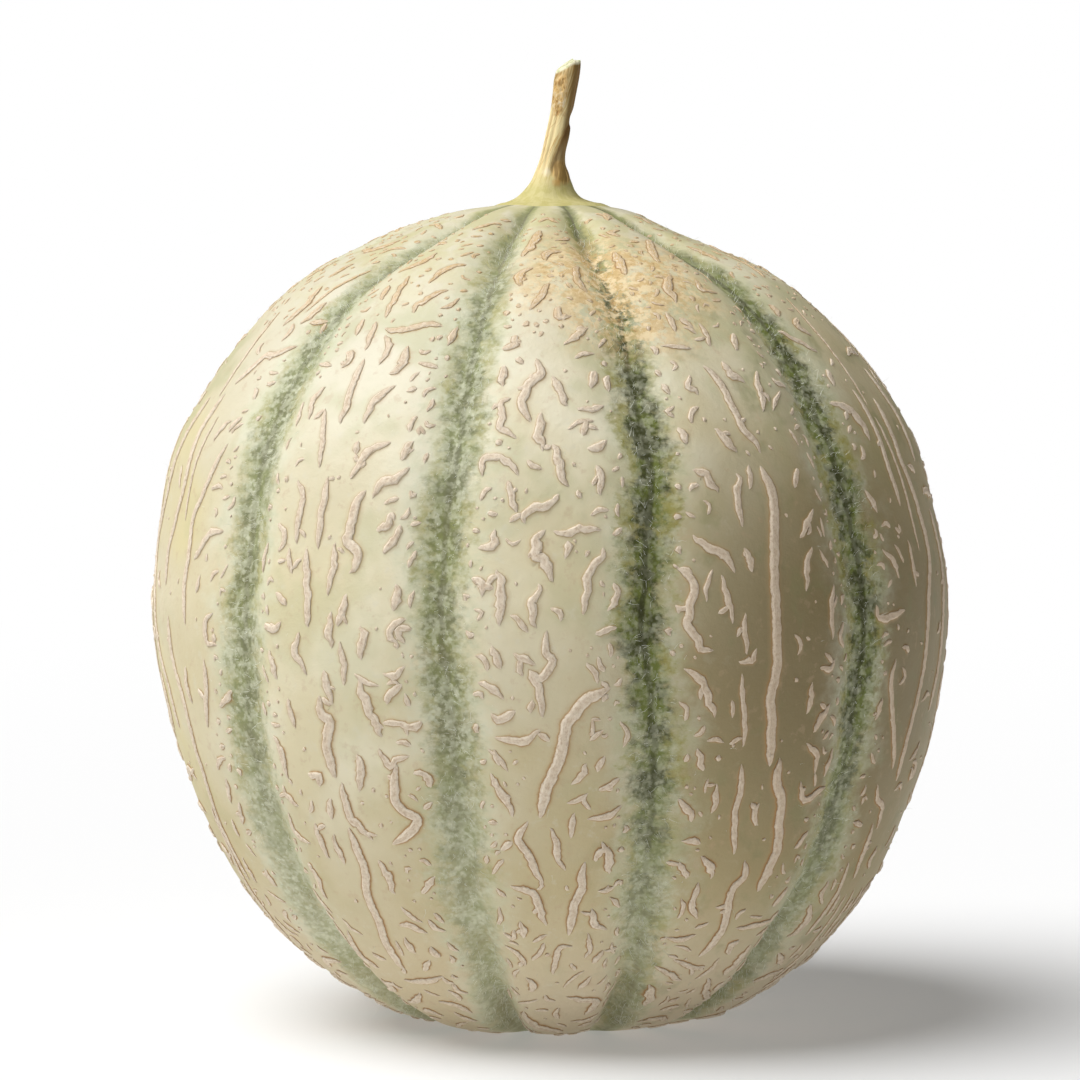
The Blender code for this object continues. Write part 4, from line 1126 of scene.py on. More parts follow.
@dataclass
class Skin:
    """The rind's fine surface, with the flat spot below and the stalk's seat above."""

    rind: Rind
    segments: int = 400
    rings: int = 228
    scar_depth: float = 0.0006
    scar_radius: float = 0.0060

    def place(self, longitude: float, share: float) -> tuple[Place, int, float, float]:
        """Places one point of the skin.

        Args:
            longitude: in degrees.
            share: from 0 under the fruit to 1 under the stalk.

        Returns:
            The point, its lobe, its longitude counted on, and its way.
        """
        whole = self.rind.flat_radius + self.rind.whole_way + self.rind.seat_radius
        run = share * whole - self.rind.flat_radius
        way = min(max(run, 0.0), self.rind.whole_way)
        lobe, longitude = self.rind.lobe_at(longitude, way)
        x, y, z = self.rind.point(lobe, longitude, way)
        if run < 0.0:
            x, y, z = self.toward_middle((x, y, z), 1.0 + run / self.rind.flat_radius, 0.0)
            from_middle = self.rind.flat_radius + run
            z += self.scar_depth * smoothstep(self.scar_radius, self.scar_radius / 3, from_middle)
        elif run > self.rind.whole_way:
            left = 1.0 - (run - self.rind.whole_way) / self.rind.seat_radius
            x, y, z = self.toward_middle((x, y, z), left, self.rind.fruit_height)
        return (x, y, z), lobe, longitude, way

    def toward_middle(self, edge: Place, share: float, height: float) -> Place:
        """Places a point between an end's edge and its middle.

        Args:
            edge: the point on the edge of the flat spot or of the seat.
            share: 1 at the edge and 0 in the middle.
            height: the end's height.

        Returns:
            The point.
        """
        middle = self.rind.axis_lean * (height - self.rind.widest_height) + self.rind.end_offset
        return middle + (edge[0] - middle) * share, edge[1] * share, edge[2]

    def build(self, material: bpy.types.Material) -> bpy.types.Object:
        """Shapes a fine ball into the rind.

        Args:
            material: the rind's material.

        Returns:
            The skin.
        """
        bpy.ops.object.select_all(action="DESELECT")
        bpy.ops.mesh.primitive_uv_sphere_add(segments=self.segments, ring_count=self.rings, radius=1.0)
        piece = bpy.context.active_object
        piece.name = "skin"
        parts = MeshParts()
        for vertex in piece.data.vertices:
            x, y, z = vertex.co
            longitude = math.degrees(math.atan2(x, -y)) if math.hypot(x, y) > 1e-6 else 0.0
            share = 1.0 - math.acos(max(-1.0, min(1.0, z))) / math.pi
            place, lobe, longitude, way = self.place(longitude, share)
            vertex.co = place
            parts.paint(self.rind, lobe, longitude, way, -1.0, (0.0, 0.0, 0.0))
        parts.store(piece.data)
        piece.data.materials.append(material)
        turn_faces_out(piece)
        return piece


@dataclass
class Stalk:
    """The dry stalk: it flares onto the fruit, twists, and is cut across at a slant."""

    rind: Rind
    right: float = 0.0004
    # Height over the seat, radius, and how far the middle stands to +X and to -Y
    rings: tuple[tuple[float, float, float, float], ...] = (
        (-0.0006, 0.0106, 0.0000, 0.0000), (0.0002, 0.0088, 0.0000, 0.0000),
        (0.0005, 0.0074, -0.0002, 0.0000), (0.0012, 0.0057, -0.0004, 0.0000),
        (0.0024, 0.0045, -0.0003, 0.0000), (0.0040, 0.0036, 0.0000, 0.0001),
        (0.0055, 0.0030, 0.0001, 0.0002), (0.0072, 0.0024, 0.0002, 0.0003),
        (0.0092, 0.0021, 0.0005, 0.0004), (0.0120, 0.0021, 0.0011, 0.0005),
        (0.0160, 0.0020, 0.0018, 0.0004), (0.0200, 0.0021, 0.0024, 0.0001),
        (0.0230, 0.0023, 0.0028, -0.0002), (0.0246, 0.0022, 0.0030, -0.0004),
        (0.0250, 0.0019, 0.0031, -0.0004),
    )
    sides: int = 120
    steps: int = 11
    cut_rise: float = 0.62
    cut_dip: float = 0.18
    gentle: float = 0.14
    corner: float = 0.0008
    # The deep groove that winds round the stalk: height, and its angle from +X in degrees
    winding: Knots = (
        (0.0040, -86.0), (0.0066, -82.0), (0.0081, -75.0), (0.0096, -66.0), (0.0110, -57.0),
        (0.0128, -39.0), (0.0146, -5.0), (0.0180, 25.0), (0.0250, 50.0),
    )
    # The grooves, which all wind alike: angle from the deep one, depth, and half the width in degrees
    grooves: tuple[tuple[float, float, float], ...] = (
        (0.0, 0.26, 15.0), (50.0, 0.07, 10.0), (96.0, 0.12, 13.0), (150.0, 0.08, 9.0),
        (-36.0, 0.05, 8.0), (-70.0, 0.09, 10.0), (-112.0, 0.06, 8.0), (-150.0, 0.13, 12.0),
    )
    # Places on the stalk: height, angle, and how far they reach in height and angle
    bulge: tuple[float, float, float, float] = (0.0056, -50.0, 0.0017, 36.0)
    flakes: tuple[float, float, float, float] = (0.0195, -116.0, 0.0038, 38.0)
    bulge_rise: float = 0.14
    # Over these heights the grooves begin, and the cut's slant begins
    grooved_from: Spot = (0.0035, 0.0075)
    slant_from: Spot = (0.0205, 0.0248)
    # A groove of this depth gets its full brown, which is partly painted shade
    full_groove: float = 0.10
    # Unevenness of the fibres and of the flakes: height, pitch round the stalk, and pitch along it
    fibres: Place = (0.05, 4.5, 70.0)
    flaking: Place = (0.12, 2.6, 900.0)
    flake_skew: float = 500.0
    # The waves of the foot: height, how many, where they start, and how high up they fade
    foot: tuple[float, float, float, float] = (0.04, 4.0, 0.6, 0.006)
    # The cut's own grain: height and pitch
    cut_grain: Spot = (0.00018, 1400.0)

    @staticmethod
    def turned(angle: float, by: float) -> float:
        """Gives the angle from one direction to another, between -180 and 180 degrees."""
        return (angle - by + 180.0) % 360.0 - 180.0

    def patch(self, spot: tuple[float, float, float, float], angle: float, height: float) -> float:
        """Is 1 in the middle of a place on the stalk and fades out round it."""
        up = (height - spot[0]) / spot[2]
        round_by = self.turned(angle, spot[1]) / spot[3]
        return math.exp(-((up * up + round_by * round_by) ** 2))

    def shape(self, angle: float, height: float) -> tuple[float, float, float, float]:
        """Gives the stalk's outline across and what its paint reads there.

        Args:
            angle: round the stalk from +X, in degrees.
            height: over the seat.

        Returns:
            The share of the ring's radius, how far into a groove, the angle from the deep groove, and
            how far into the flaked patch.
        """
        rise = smoothstep(*self.grooved_from, height)
        winding = read_curve(self.winding, height)
        wound = self.turned(angle, winding)
        straight = self.turned(angle, self.winding[0][1] + self.gentle * (winding - self.winding[0][1]))
        sunk, groove = 0.0, 0.0
        for number, (place, depth, half) in enumerate(self.grooves):
            near = math.exp(-((self.turned(straight if number else wound, place) / half) ** 2))
            sunk += depth * near
            groove = max(groove, near * min(1.0, depth / self.full_groove))
        turn, around = math.radians(straight), math.radians(angle)
        tall, pitch, pitch_up = self.fibres
        fibre = tall * noise.noise((pitch * math.cos(turn), pitch * math.sin(turn), height * pitch_up))
        flaked = self.patch(self.flakes, angle, height)
        tall, pitch, pitch_up = self.flaking
        skewed = pitch * math.cos(around) + height * self.flake_skew
        flake = tall * noise.noise((skewed, pitch * math.sin(around), height * pitch_up))
        share = 1.0 - sunk * rise * (1.0 - 0.7 * flaked) + fibre * rise + flake * flaked
        share += self.bulge_rise * self.patch(self.bulge, angle, height)
        tall, count, start, end = self.foot
        share += tall * smoothstep(end, 0.0, height) * math.cos(count * around + start)
        return share, groove * rise, wound, flaked

    def draw_up(self, rows: list[tuple]) -> bpy.types.Object:
        """Draws a round stalk up ring by ring and closes it with a cut face.

        Args:
            rows: its rings, as in the field of that name but finer.

        Returns:
            The plain stalk.
        """
        middle = Vector((self.right, 0.0, self.rind.fruit_height + rows[0][0]))
        bpy.ops.object.select_all(action="DESELECT")
        bpy.ops.mesh.primitive_circle_add(
            vertices=self.sides, radius=rows[0][1], fill_type="NGON", location=middle
        )
        piece = bpy.context.active_object
        piece.name = "stalk_dry"
        bpy.ops.object.transform_apply(location=True, rotation=True, scale=True)
        bpy.ops.object.mode_set(mode="EDIT")
        bpy.ops.mesh.select_all(action="SELECT")
        for before, after in zip(rows, rows[1:]):
            step = Vector((after[2] - before[2], before[3] - after[3], after[0] - before[0]))
            bpy.ops.mesh.extrude_region_move(TRANSFORM_OT_translate={"value": step})
            middle += step
            ratio = after[1] / before[1]
            bpy.ops.transform.resize(value=(ratio, ratio, ratio), center_override=middle)
        for _ in range(5):
            bpy.ops.mesh.inset(thickness=rows[-1][1] * 0.16, depth=-0.00003)
        bpy.ops.object.mode_set(mode="OBJECT")
        return piece

    def build(self, material: bpy.types.Material) -> bpy.types.Object:
        """Builds the stalk and gives it its grooves, its flaked patch and its slanted cut.

        Args:
            material: the stalk's material.

        Returns:
            The stalk.
        """
        rows = smooth_line(self.rings, self.steps)
        heights = [row[0] for row in rows]
        piece = self.draw_up(rows)
        names = ("height", "groove", "wound", "flaked", "cut", "side")
        layers: dict[str, list[float]] = {name: [] for name in names}
        fibres: list[float] = []
        for vertex in piece.data.vertices:
            height = vertex.co.z - self.rind.fruit_height
            row = rows[min(bisect.bisect_left(heights, height - 1e-6), len(rows) - 1)]
            x, y = vertex.co.x - self.right - row[2], vertex.co.y + row[3]
            angle = math.degrees(math.atan2(y, x))
            ratio, groove, wound, flaked = self.shape(angle, height)
            inside = smoothstep(0.99, 0.88, math.hypot(x, y) / row[1]) if height > heights[-2] else 0.0
            vertex.co.x = self.right + row[2] + x * ratio
            vertex.co.y = -row[3] + y * ratio
            slope = (self.cut_rise * x + self.cut_dip * y) * ratio
            slope -= self.corner * smoothstep(0.35, 1.0, x / row[1])
            vertex.co.z += slope * smoothstep(*self.slant_from, height)
            vertex.co.z += self.cut_grain[0] * inside * noise.noise(vertex.co * self.cut_grain[1])
            for name, value in zip(names, (height / MM, groove, wound, flaked, inside, x / row[1])):
                layers[name].append(value)
            turn = math.radians(wound)
            fibres += [3.0 * math.cos(turn), 3.0 * math.sin(turn), height / MM]
        for name, values in layers.items():
            piece.data.attributes.new(name, "FLOAT", "POINT").data.foreach_set("value", values)
        piece.data.attributes.new("fibre", "FLOAT_VECTOR", "POINT").data.foreach_set("vector", fibres)
        piece.data.materials.append(material)
        turn_faces_out(piece, 50.0)
        return piece


@dataclass
class Fuzz:
    """The fine pale hairs that stand on the green stripes and here and there on the rind."""

    rind: Rind
    count: int = 7600
    loose: int = 700
    shortest: float = 0.0006
    longest: float = 0.0026
    thickness: float = 0.000036
    joints: int = 3
    curl: float = 0.75
    seed: int = 512
    # Where they grow: the lowest share of the way, how much of it, and how much more grow low down
    lowest: float = 0.07
    reach: float = 0.88
    lowness: float = 1.35
    # How far they stray: in half widths of the stripe, and the loose ones in metres
    stripe_spread: float = 0.50
    loose_spread: float = 0.008
    root_sink: float = 0.00004
    shortness: float = 2.2
    bend: float = 0.6
    upright: float = 0.25

    def build(self, material: bpy.types.Material) -> bpy.types.Object:
        """Grows the hairs as slim three-sided cones.

        Args:
            material: the hairs' material.

        Returns:
            All the hairs as one piece.
        """
        draw = random.Random(self.seed)
        points: list[Place] = []
        faces: list[tuple[int, ...]] = []
        for number in range(self.count + self.loose):
            furrow = draw.randrange(len(self.rind.furrows))
            way = (self.lowest + self.reach * draw.random() ** self.lowness) * self.rind.whole_way
            half = read_curve(self.rind.stripe_half, way / self.rind.whole_way)
            spread = draw.gauss(0.0, self.stripe_spread * half if number < self.count else self.loose_spread)
            spread += self.rind.beside(furrow, way)
            turn = math.degrees(spread / self.rind.outline_at(way)[0])
            lobe, longitude = self.rind.lobe_at(self.rind.furrow_longitude(furrow, way) + turn, way)
            root = Vector(self.rind.point(lobe, longitude, way, -self.root_sink))
            out = (Vector(self.rind.point(lobe, longitude, way, 0.001)) - root).normalized()
            side = out.orthogonal().normalized()
            side.rotate(Euler(out * draw.uniform(0.0, math.tau)))
            length = self.shortest + (self.longest - self.shortest) * draw.random() ** self.shortness
            lean = (out * draw.uniform(0.15, 1.0) + side).normalized()
            place = root
            start = len(points)
            for joint in range(self.joints):
                radius = self.thickness * (1.0 - joint / self.joints)
                first = lean.orthogonal().normalized() * radius
                second = lean.cross(first)
                for corner in range(3):
                    turn = math.tau * corner / 3
                    points.append(tuple(place + first * math.cos(turn) + second * math.sin(turn)))
                place = place + lean * (length / self.joints)
                bent = Vector((draw.gauss(0, 1), draw.gauss(0, 1), draw.gauss(0, 1))) * self.curl
                lean = (lean + bent * self.bend + out * self.upright).normalized()
            points.append(tuple(place))
            faces.append((start + 2, start + 1, start))
            for joint in range(self.joints - 1):
                row = start + 3 * joint
                faces += quads(range(row, row + 3), range(row + 3, row + 6))
            row = start + 3 * (self.joints - 1)
            faces += [(row + i, row + (i + 1) % 3, len(points) - 1) for i in range(3)]
        mesh = bpy.data.meshes.new("stripe_hairs")
        mesh.from_pydata(points, [], faces)
        mesh.materials.append(material)
        piece = bpy.data.objects.new("stripe_hairs", mesh)
        bpy.context.scene.collection.objects.link(piece)
        turn_faces_out(piece)
        return piece


class Wire:
    """One value in a material, so that sums can be written as plain Python."""

    def __init__(self, paint: "Paint", socket: bpy.types.NodeSocket) -> None:
        """Wraps a node's output."""
        self.paint = paint
        self.socket = socket

    def __add__(self, other: "Wire | float") -> "Wire":
        """Adds."""
        return self.paint.math("ADD", self, other)

    def __radd__(self, other: float) -> "Wire":
        """Adds to a plain number."""
        return self.paint.math("ADD", other, self)

    def __sub__(self, other: "Wire | float") -> "Wire":
        """Subtracts."""
        return self.paint.math("SUBTRACT", self, other)

    def __rsub__(self, other: float) -> "Wire":
        """Subtracts from a plain number."""
        return self.paint.math("SUBTRACT", other, self)

    def __mul__(self, other: "Wire | float") -> "Wire":
        """Multiplies."""
        return self.paint.math("MULTIPLY", self, other)

    def __rmul__(self, other: float) -> "Wire":
        """Multiplies a plain number."""
        return self.paint.math("MULTIPLY", other, self)

    def __neg__(self) -> "Wire":
        """Turns the sign."""
        return self.paint.math("MULTIPLY", self, -1.0)

    def step(self, low: float, high: float) -> "Wire":
        """Rises smoothly from 0 at low to 1 at high, which may also lie below low."""
        if low < high:
            values = {"Value": self, "From Min": low, "From Max": high}
            return self.paint.node("ShaderNodeMapRange", {"interpolation_type": "SMOOTHSTEP"}, values)
        return 1.0 - self.step(high, low)


class Paint:
    """One material as it is built: its nodes, its shader and the place that its patterns are read at."""

    def __init__(self, name: str, **constants: float) -> None:
        """Starts a material.

        Args:
            name: the material's name.
            constants: the shader's plain values, with _ for the spaces in their names.
        """
        self.material = bpy.data.materials.new(name)
        self.material.use_nodes = True
        self.tree = self.material.node_tree
        self.shader = self.tree.nodes["Principled BSDF"]
        for key, value in constants.items():
            self.shader.inputs[key.replace("_", " ")].default_value = value
        self.place = self.node("ShaderNodeTexCoord", {}, {}, "Object")

    def node(self, kind: str, settings: dict, values: dict, output: str | int = 0) -> Wire:
        """Adds a node.

        Args:
            kind: the node's type.
            settings: its options.
            values: what goes into its inputs: wires, numbers or tuples.
            output: which of its outputs is wanted.

        Returns:
            That output.
        """
        made = self.tree.nodes.new(kind)
        for key, value in settings.items():
            setattr(made, key, value)
        for key, value in values.items():
            self.plug(made.inputs[key], value)
        return Wire(self, made.outputs[output])

    def plug(self, socket: bpy.types.NodeSocket, value: "Wire | float | tuple") -> None:
        """Links a wire to an input, or sets the input to a plain value."""
        if isinstance(value, Wire):
            self.tree.links.new(value.socket, socket)
        elif isinstance(value, tuple) and len(value) == 3 and socket.type == "RGBA":
            socket.default_value = (*value, 1.0)
        else:
            socket.default_value = value

    def math(self, operation: str, first: "Wire | float", second: "Wire | float") -> Wire:
        """Adds a sum of two values."""
        return self.node("ShaderNodeMath", {"operation": operation}, {0: first, 1: second})

    def layer(self, name: str, output: str = "Fac") -> Wire:
        """Reads a value that the mesh holds at each point."""
        return self.node("ShaderNodeAttribute", {"attribute_name": name}, {}, output)

    def moved(self, place: Wire, by: Place, stretch: Place = (1.0, 1.0, 1.0)) -> Wire:
        """Stretches a place and then moves it."""
        return self.node("ShaderNodeMapping", {}, {"Vector": place, "Location": by, "Scale": stretch})

    def noise(
        self,
        size: float,
        detail: float = 2.0,
        rough: float = 0.5,
        seed: float = 0.0,
        at: Wire | None = None,
    ) -> Wire:
        """Reads a cloudy pattern of 0 to 1.

        Args:
            size: the size of its largest clouds.
            detail: how many finer layers it has.
            rough: how strong they are.
            seed: moves the pattern, so that two of them differ.
            at: the place to read it at, if not the object's own.

        Returns:
            The pattern.
        """
        place = self.moved(at or self.place, (seed, 1.7 * seed, 0.6 * seed))
        values = {"Vector": place, "Scale": 1.0 / size, "Detail": detail, "Roughness": rough}
        return self.node("ShaderNodeTexNoise", {}, values)

    def cells(self, size: float, seed: float) -> Wire:
        """Reads the distance to scattered points, in shares of their spacing."""
        place = self.moved(self.place, (seed, 0.4 * seed, 1.3 * seed))
        return self.node("ShaderNodeTexVoronoi", {}, {"Vector": place, "Scale": 1.0 / size}, "Distance")

    def mix(self, share: "Wire | float", first: "Wire | Colour", second: "Wire | Colour") -> Wire:
        """Mixes two colours: the first at 0, the second at 1."""
        values = {0: share, 6: first, 7: second}
        return self.node("ShaderNodeMix", {"data_type": "RGBA", "clamp_factor": True}, values, 2)

    def near(self, centre: Place, radius: float, fade: float, ragged: float = 0.0) -> Wire:
        """Is 1 near a place and fades out round it.

        Args:
            centre: the place.
            radius: where the fade ends.
            fade: how wide the fade is.
            ragged: how far the edge wanders.

        Returns:
            The share.
        """
        settings = {"operation": "DISTANCE"}
        distance = self.node("ShaderNodeVectorMath", settings, {0: self.place, 1: centre}, "Value")
        if ragged:
            distance = distance + (self.noise(0.35 * radius, 3.0, 0.6, 3.0) - 0.5) * (2.0 * ragged)
        return distance.step(radius, radius - fade)

    def along(self, axis: str) -> Wire:
        """Reads one of the place's numbers, "X", "Y" or "Z"."""
        return self.node("ShaderNodeSeparateXYZ", {}, {0: self.place}, axis)

    def finish(
        self, colour: Wire, roughness: "Wire | float", height: Wire | None = None, tall: float = 0.0
    ) -> bpy.types.Material:
        """Links the paint to the shader.

        Args:
            colour: its colour.
            roughness: its roughness.
            height: its fine relief, as 0 to 1.
            tall: how tall that relief is, in metres.

        Returns:
            The material.
        """
        self.plug(self.shader.inputs["Base Color"], colour)
        self.plug(self.shader.inputs["Roughness"], roughness)
        if height is not None:
            values = {"Height": height, "Distance": tall, "Strength": 1.0}
            self.plug(self.shader.inputs["Normal"], self.node("ShaderNodeBump", {}, values))
        return self.material


@dataclass(frozen=True)
class RindFinish:
    """The rind's paint: a waxy sand-coloured ground with painted light and shade in it, frosty green
    stripes, and cork on the net.
    """

    sand: Colour = srgb(204, 190, 150)
    buff: Colour = srgb(219, 208, 172)
    cream: Colour = srgb(230, 222, 193)
    # pale: the painted light of the upper left, and also the colour of fine pale specks
    pale: Colour = srgb(217, 212, 193)
    # tan: painted shade, on the right side and in a low band of the front
    tan: Colour = srgb(181, 161, 110)
    yellow: Colour = srgb(218, 206, 152)
    sage: Colour = srgb(178, 180, 132)
    moss: Colour = srgb(132, 134, 88)
    haze: Colour = srgb(222, 222, 198)
    leaf: Colour = srgb(106, 115, 48)
    deep: Colour = srgb(56, 58, 20)
    frost: Colour = srgb(210, 211, 184)
    olive: Colour = srgb(150, 142, 58)
    crest: Colour = srgb(240, 226, 205)
    core: Colour = srgb(223, 205, 180)
    bark: Colour = srgb(192, 163, 130)
    ochre: Colour = srgb(168, 125, 74)
    russet: Colour = srgb(213, 180, 124)
    crust: Colour = srgb(236, 216, 174)
    scar: Colour = srgb(150, 116, 78)
    russet_place: Place = (0.012, -0.042, 0.136)
    russet_reach: float = 0.023
    # painted shade: the colour mixed in round the darkest places of the shaded right side
    painted_shade: Colour = srgb(129, 113, 74)
    painted_shade_place: Place = (0.054, -0.044, 0.066)
    painted_shade_reach: float = 0.066
    shade_place: Place = (0.036, -0.058, 0.072)
    shade_reach: float = 0.036
    halo: Colour = srgb(188, 156, 112)
    # painted light: the paler colour of the bottom, lit from the floor
    painted_floor_light: Colour = srgb(224, 208, 182)

    def ground(self, paint: Paint) -> Wire:
        """Mixes the bare rind's colour, with painted light on the upper left and at the bottom and painted
        shade on the right side and low down.
        """
        high = paint.along("Z")
        side = paint.along("X")
        colour = paint.mix(paint.noise(0.018, 3.0, 0.55, 1.0).step(0.36, 0.64), self.buff, self.cream)
        # painted light: the upper left, which faces the key light, is mixed paler
        colour = paint.mix((high - side * 0.5).step(0.095, 0.150) * 0.75, colour, self.pale)
        # painted shade: the right side, away from the key light, is mixed towards tan
        colour = paint.mix((side - high * 0.60).step(-0.055, 0.010) * 0.70, colour, self.tan)
        # painted shade: a low band of the middle and right, which gets less of the overhead light, is mixed
        # towards tan
        low_band_shade = high.step(0.090, 0.058) * high.step(0.016, 0.034)
        colour = paint.mix(low_band_shade * (-side).step(0.040, 0.0) * 0.30, colour, self.tan)
        left = (-side).step(0.036, 0.066)
        colour = paint.mix(left * 0.55, colour, self.sand)
        warm = paint.noise(0.030, 2.0, 0.5, 4.0).step(0.35, 0.6)
        colour = paint.mix(left * warm * 0.6, colour, self.yellow)
        greenish = paint.noise(0.015, 3.0, 0.6, 7.0).step(0.46, 0.66)
        colour = paint.mix(greenish * (high.step(0.070, 0.120) * 0.22 + 0.24), colour, self.sage)
        # painted shade: the rind darkens round the middle of the shaded right side
        colour = paint.mix(paint.near(self.painted_shade_place, self.painted_shade_reach, 0.056) * 0.92, colour, self.painted_shade)
        colour = paint.mix(paint.near(self.shade_place, self.shade_reach, 0.032) * 0.36, colour, self.painted_shade)
        # painted light: the bottom, lit from the floor below, is mixed paler
        colour = paint.mix(high.step(0.034, 0.008) * 0.62, colour, self.painted_floor_light)
        # painted shade: the same low band on the left side, mixed towards tan
        colour = paint.mix(high.step(0.056, 0.030) * side.step(0.010, -0.028) * 0.42, colour, self.tan)
        mottle = paint.noise(0.0062, 3.0, 0.6, 25.0).step(0.40, 0.60)
        colour = paint.mix(high.step(0.122, 0.140) * (mottle * 0.45 + 0.18), colour, self.yellow)
        colour = paint.mix(high.step(0.126, 0.142) * mottle * 0.30, colour, self.sage)
        fine = paint.noise(0.0022, 4.0, 0.65, 9.0)
        colour = paint.mix(fine.step(0.44, 0.30) * 0.28, colour, self.bark)
        stains = paint.noise(0.0065, 3.0, 0.6, 24.0)
        colour = paint.mix(stains.step(0.54, 0.70) * side.step(-0.01, 0.03) * 0.35, colour, self.moss)
        return paint.mix(fine.step(0.56, 0.72) * side.step(0.045, 0.0) * 0.28, colour, self.pale)

    def russeted(self, paint: Paint, colour: Wire) -> Wire:
        """Adds the russet speckles near the stalk and the brown scar underneath."""
        there = paint.near(self.russet_place, self.russet_reach, 0.013, 0.009)
        clumps = paint.noise(0.0034, 5.0, 0.74, 5.0)
        colour = paint.mix(there * clumps.step(0.40, 0.56) * 0.88, colour, self.russet)
        crumbs = paint.noise(0.0013, 4.0, 0.66, 2.0)
        colour = paint.mix(there * crumbs.step(0.47, 0.60) * 0.8, colour, self.crust)
        colour = paint.mix(there * crumbs.step(0.40, 0.33) * 0.55, colour, self.ochre)
        under = paint.near((0.003, 0.0, 0.0), 0.0085, 0.003, 0.0012)
        return paint.mix(under * 0.85, colour, self.scar)

    def striped(self, paint: Paint, ground: Wire) -> tuple[Wire, Wire, Wire]:
        """Paints the green stripes along the furrows.

        Args:
            paint: the material that is built.
            ground: the colour between the stripes.

        Returns:
            The colour, how far a place is inside a stripe, and the pattern of its frost.
        """
        distance = paint.layer("stripe")
        green = paint.layer("green")
        frost = paint.layer("frost")
        across = paint.moved(paint.place, (0.0, 0.0, 0.0), (0.8, 0.8, 1.35))
        wavy = (paint.noise(0.0060, 2.0, 0.5, 11.0) - 0.5) * 0.9
        feather = (paint.noise(0.0019, 4.0, 0.68, 13.0, across) - 0.5) * 1.5
        edge = distance + wavy + feather
        misty = paint.noise(0.0085, 3.0, 0.6, 14.0).step(0.38, 0.60)
        dull = paint.along("Z").step(0.085, 0.035) * 0.60
        colour = paint.mix(edge.step(2.4, 0.9) * misty * frost * (0.95 - dull), ground, self.haze)
        patches = paint.noise(0.0070, 3.0, 0.6, 10.0).step(0.40, 0.60)
        colour = paint.mix(edge.step(1.7, 0.8) * patches * 0.45, colour, self.sage)
        blotch = paint.noise(0.0046, 4.0, 0.65, 15.0)
        body = paint.mix(blotch.step(0.58, 0.42) * (green * 1.15 - 0.20), self.leaf, self.deep)
        line = (paint.layer("across") + (paint.noise(0.0035, 3.0, 0.5, 12.0) - 0.5) * 0.45) * 8.0
        heart = (line * line).step(1.6, 0.10) * distance.step(1.0, 0.5) * (1.15 - frost)
        body = paint.mix(heart, body, self.deep)
        yellowed = edge.step(0.40, 0.90) * paint.noise(0.0060, 2.0, 0.5, 16.0).step(0.46, 0.58)
        body = paint.mix(yellowed * 0.9, body, self.olive)
        inside = edge.step(1.18, 0.22) * (green * 0.70 + 0.36)
        colour = paint.mix(inside, colour, body)
        ragged = paint.noise(0.0075, 4.0, 0.66, 16.0).step(0.48, 0.60)
        fringe = edge.step(0.30, 0.70) * edge.step(1.25, 0.90)
        colour = paint.mix(fringe * ragged * green * 0.66, colour, self.olive)
        tufts = paint.noise(0.0014, 3.0, 0.60, 17.0)
        specks = paint.cells(0.00085, 21.0).step(0.60, 0.20)
        drifts = paint.noise(0.0048, 3.0, 0.6, 18.0).step(0.38, 0.60)
        low = paint.along("Z").step(0.074, 0.034)
        white = tufts.step(0.43, 0.58) * (0.68 - low * 0.40) + specks * (0.34 - low * 0.14)
        white = white + 0.04 + low * 0.20
        amount = white * (drifts * 0.45 + 0.62) * (frost + 0.04)
        amount = amount * edge.step(1.50, 0.85) * (1.0 - heart * 0.6) * (1.0 - yellowed * 0.5)
        return paint.mix(amount, colour, self.frost), inside, tufts

    def corked(self, paint: Paint, colour: Wire) -> tuple[Wire, Wire, Wire]:
        """Paints the cork of the net, with painted shade on the shaded right side.

        Args:
            paint: the material that is built.
            colour: the colour of the bare rind.

        Returns:
            The colour, how far a place is on cork, and the cork's grain.
        """
        grain = paint.layer("grain", "Vector")
        streaks = paint.noise(1.0, 3.0, 0.65, 0.0, paint.moved(grain, (0.0, 0.0, 0.0), (1.3, 4.5, 1.0)))
        cork = paint.layer("cork")
        ragged = cork + (paint.noise(0.0008, 4.0, 0.68, 19.0) - 0.5) * 0.46
        high = paint.along("Z")
        mask = ragged.step(0.58, 0.74)
        low = high.step(0.085, 0.035)
        rim = ragged.step(0.26, 0.54) * (1.0 - mask) * (low * 0.52 + high.step(0.108, 0.130) * 0.34 + 0.44)
        rim = paint.math("MAXIMUM", rim, ragged.step(0.02, 0.50) * (1.0 - mask) * low * 0.62)
        grains = paint.noise(0.00070, 3.0, 0.65, 23.0)
        bark = paint.mix(ragged.step(0.90, 1.30) * 0.80, self.crest, self.core)
        bark = paint.mix(streaks.step(0.48, 0.66) * 0.45, bark, self.bark)
        bark = paint.mix(grains.step(0.46, 0.36) * 0.40, bark, self.bark)
        bark = paint.mix(grains.step(0.50, 0.62) * 0.55, bark, self.crest)
        # painted shade: the cork is mixed towards bark colour on the shaded right side
        bark = paint.mix(paint.near(self.painted_shade_place, self.painted_shade_reach, 0.056) * 0.42, bark, self.bark)
        bark = paint.mix(high.step(0.116, 0.136) * streaks.step(0.32, 0.56) * 0.80, bark, self.russet)
        colour = paint.mix(cork.step(-0.70, 0.45) * 0.22, colour, self.halo)
        colour = paint.mix(rim, colour, self.ochre)
        return paint.mix(mask, colour, bark), mask, streaks * 0.7 + grains * 1.0

    def make(self) -> bpy.types.Material:
        """Builds the material of the skin and of the net."""
        paint = Paint("rind", IOR=1.45)
        colour, inside, bristles = self.striped(paint, self.ground(paint))
        colour, mask, bark = self.corked(paint, self.russeted(paint, colour))
        roughness = 0.56 + inside * 0.30 + mask * 0.24
        fine = paint.noise(0.0012, 4.0, 0.6, 21.0)
        height = fine * (1.0 - mask) * 0.6 + bristles * inside * 1.2 + bark * mask * 1.2
        return paint.finish(colour, roughness, height, 0.00022)


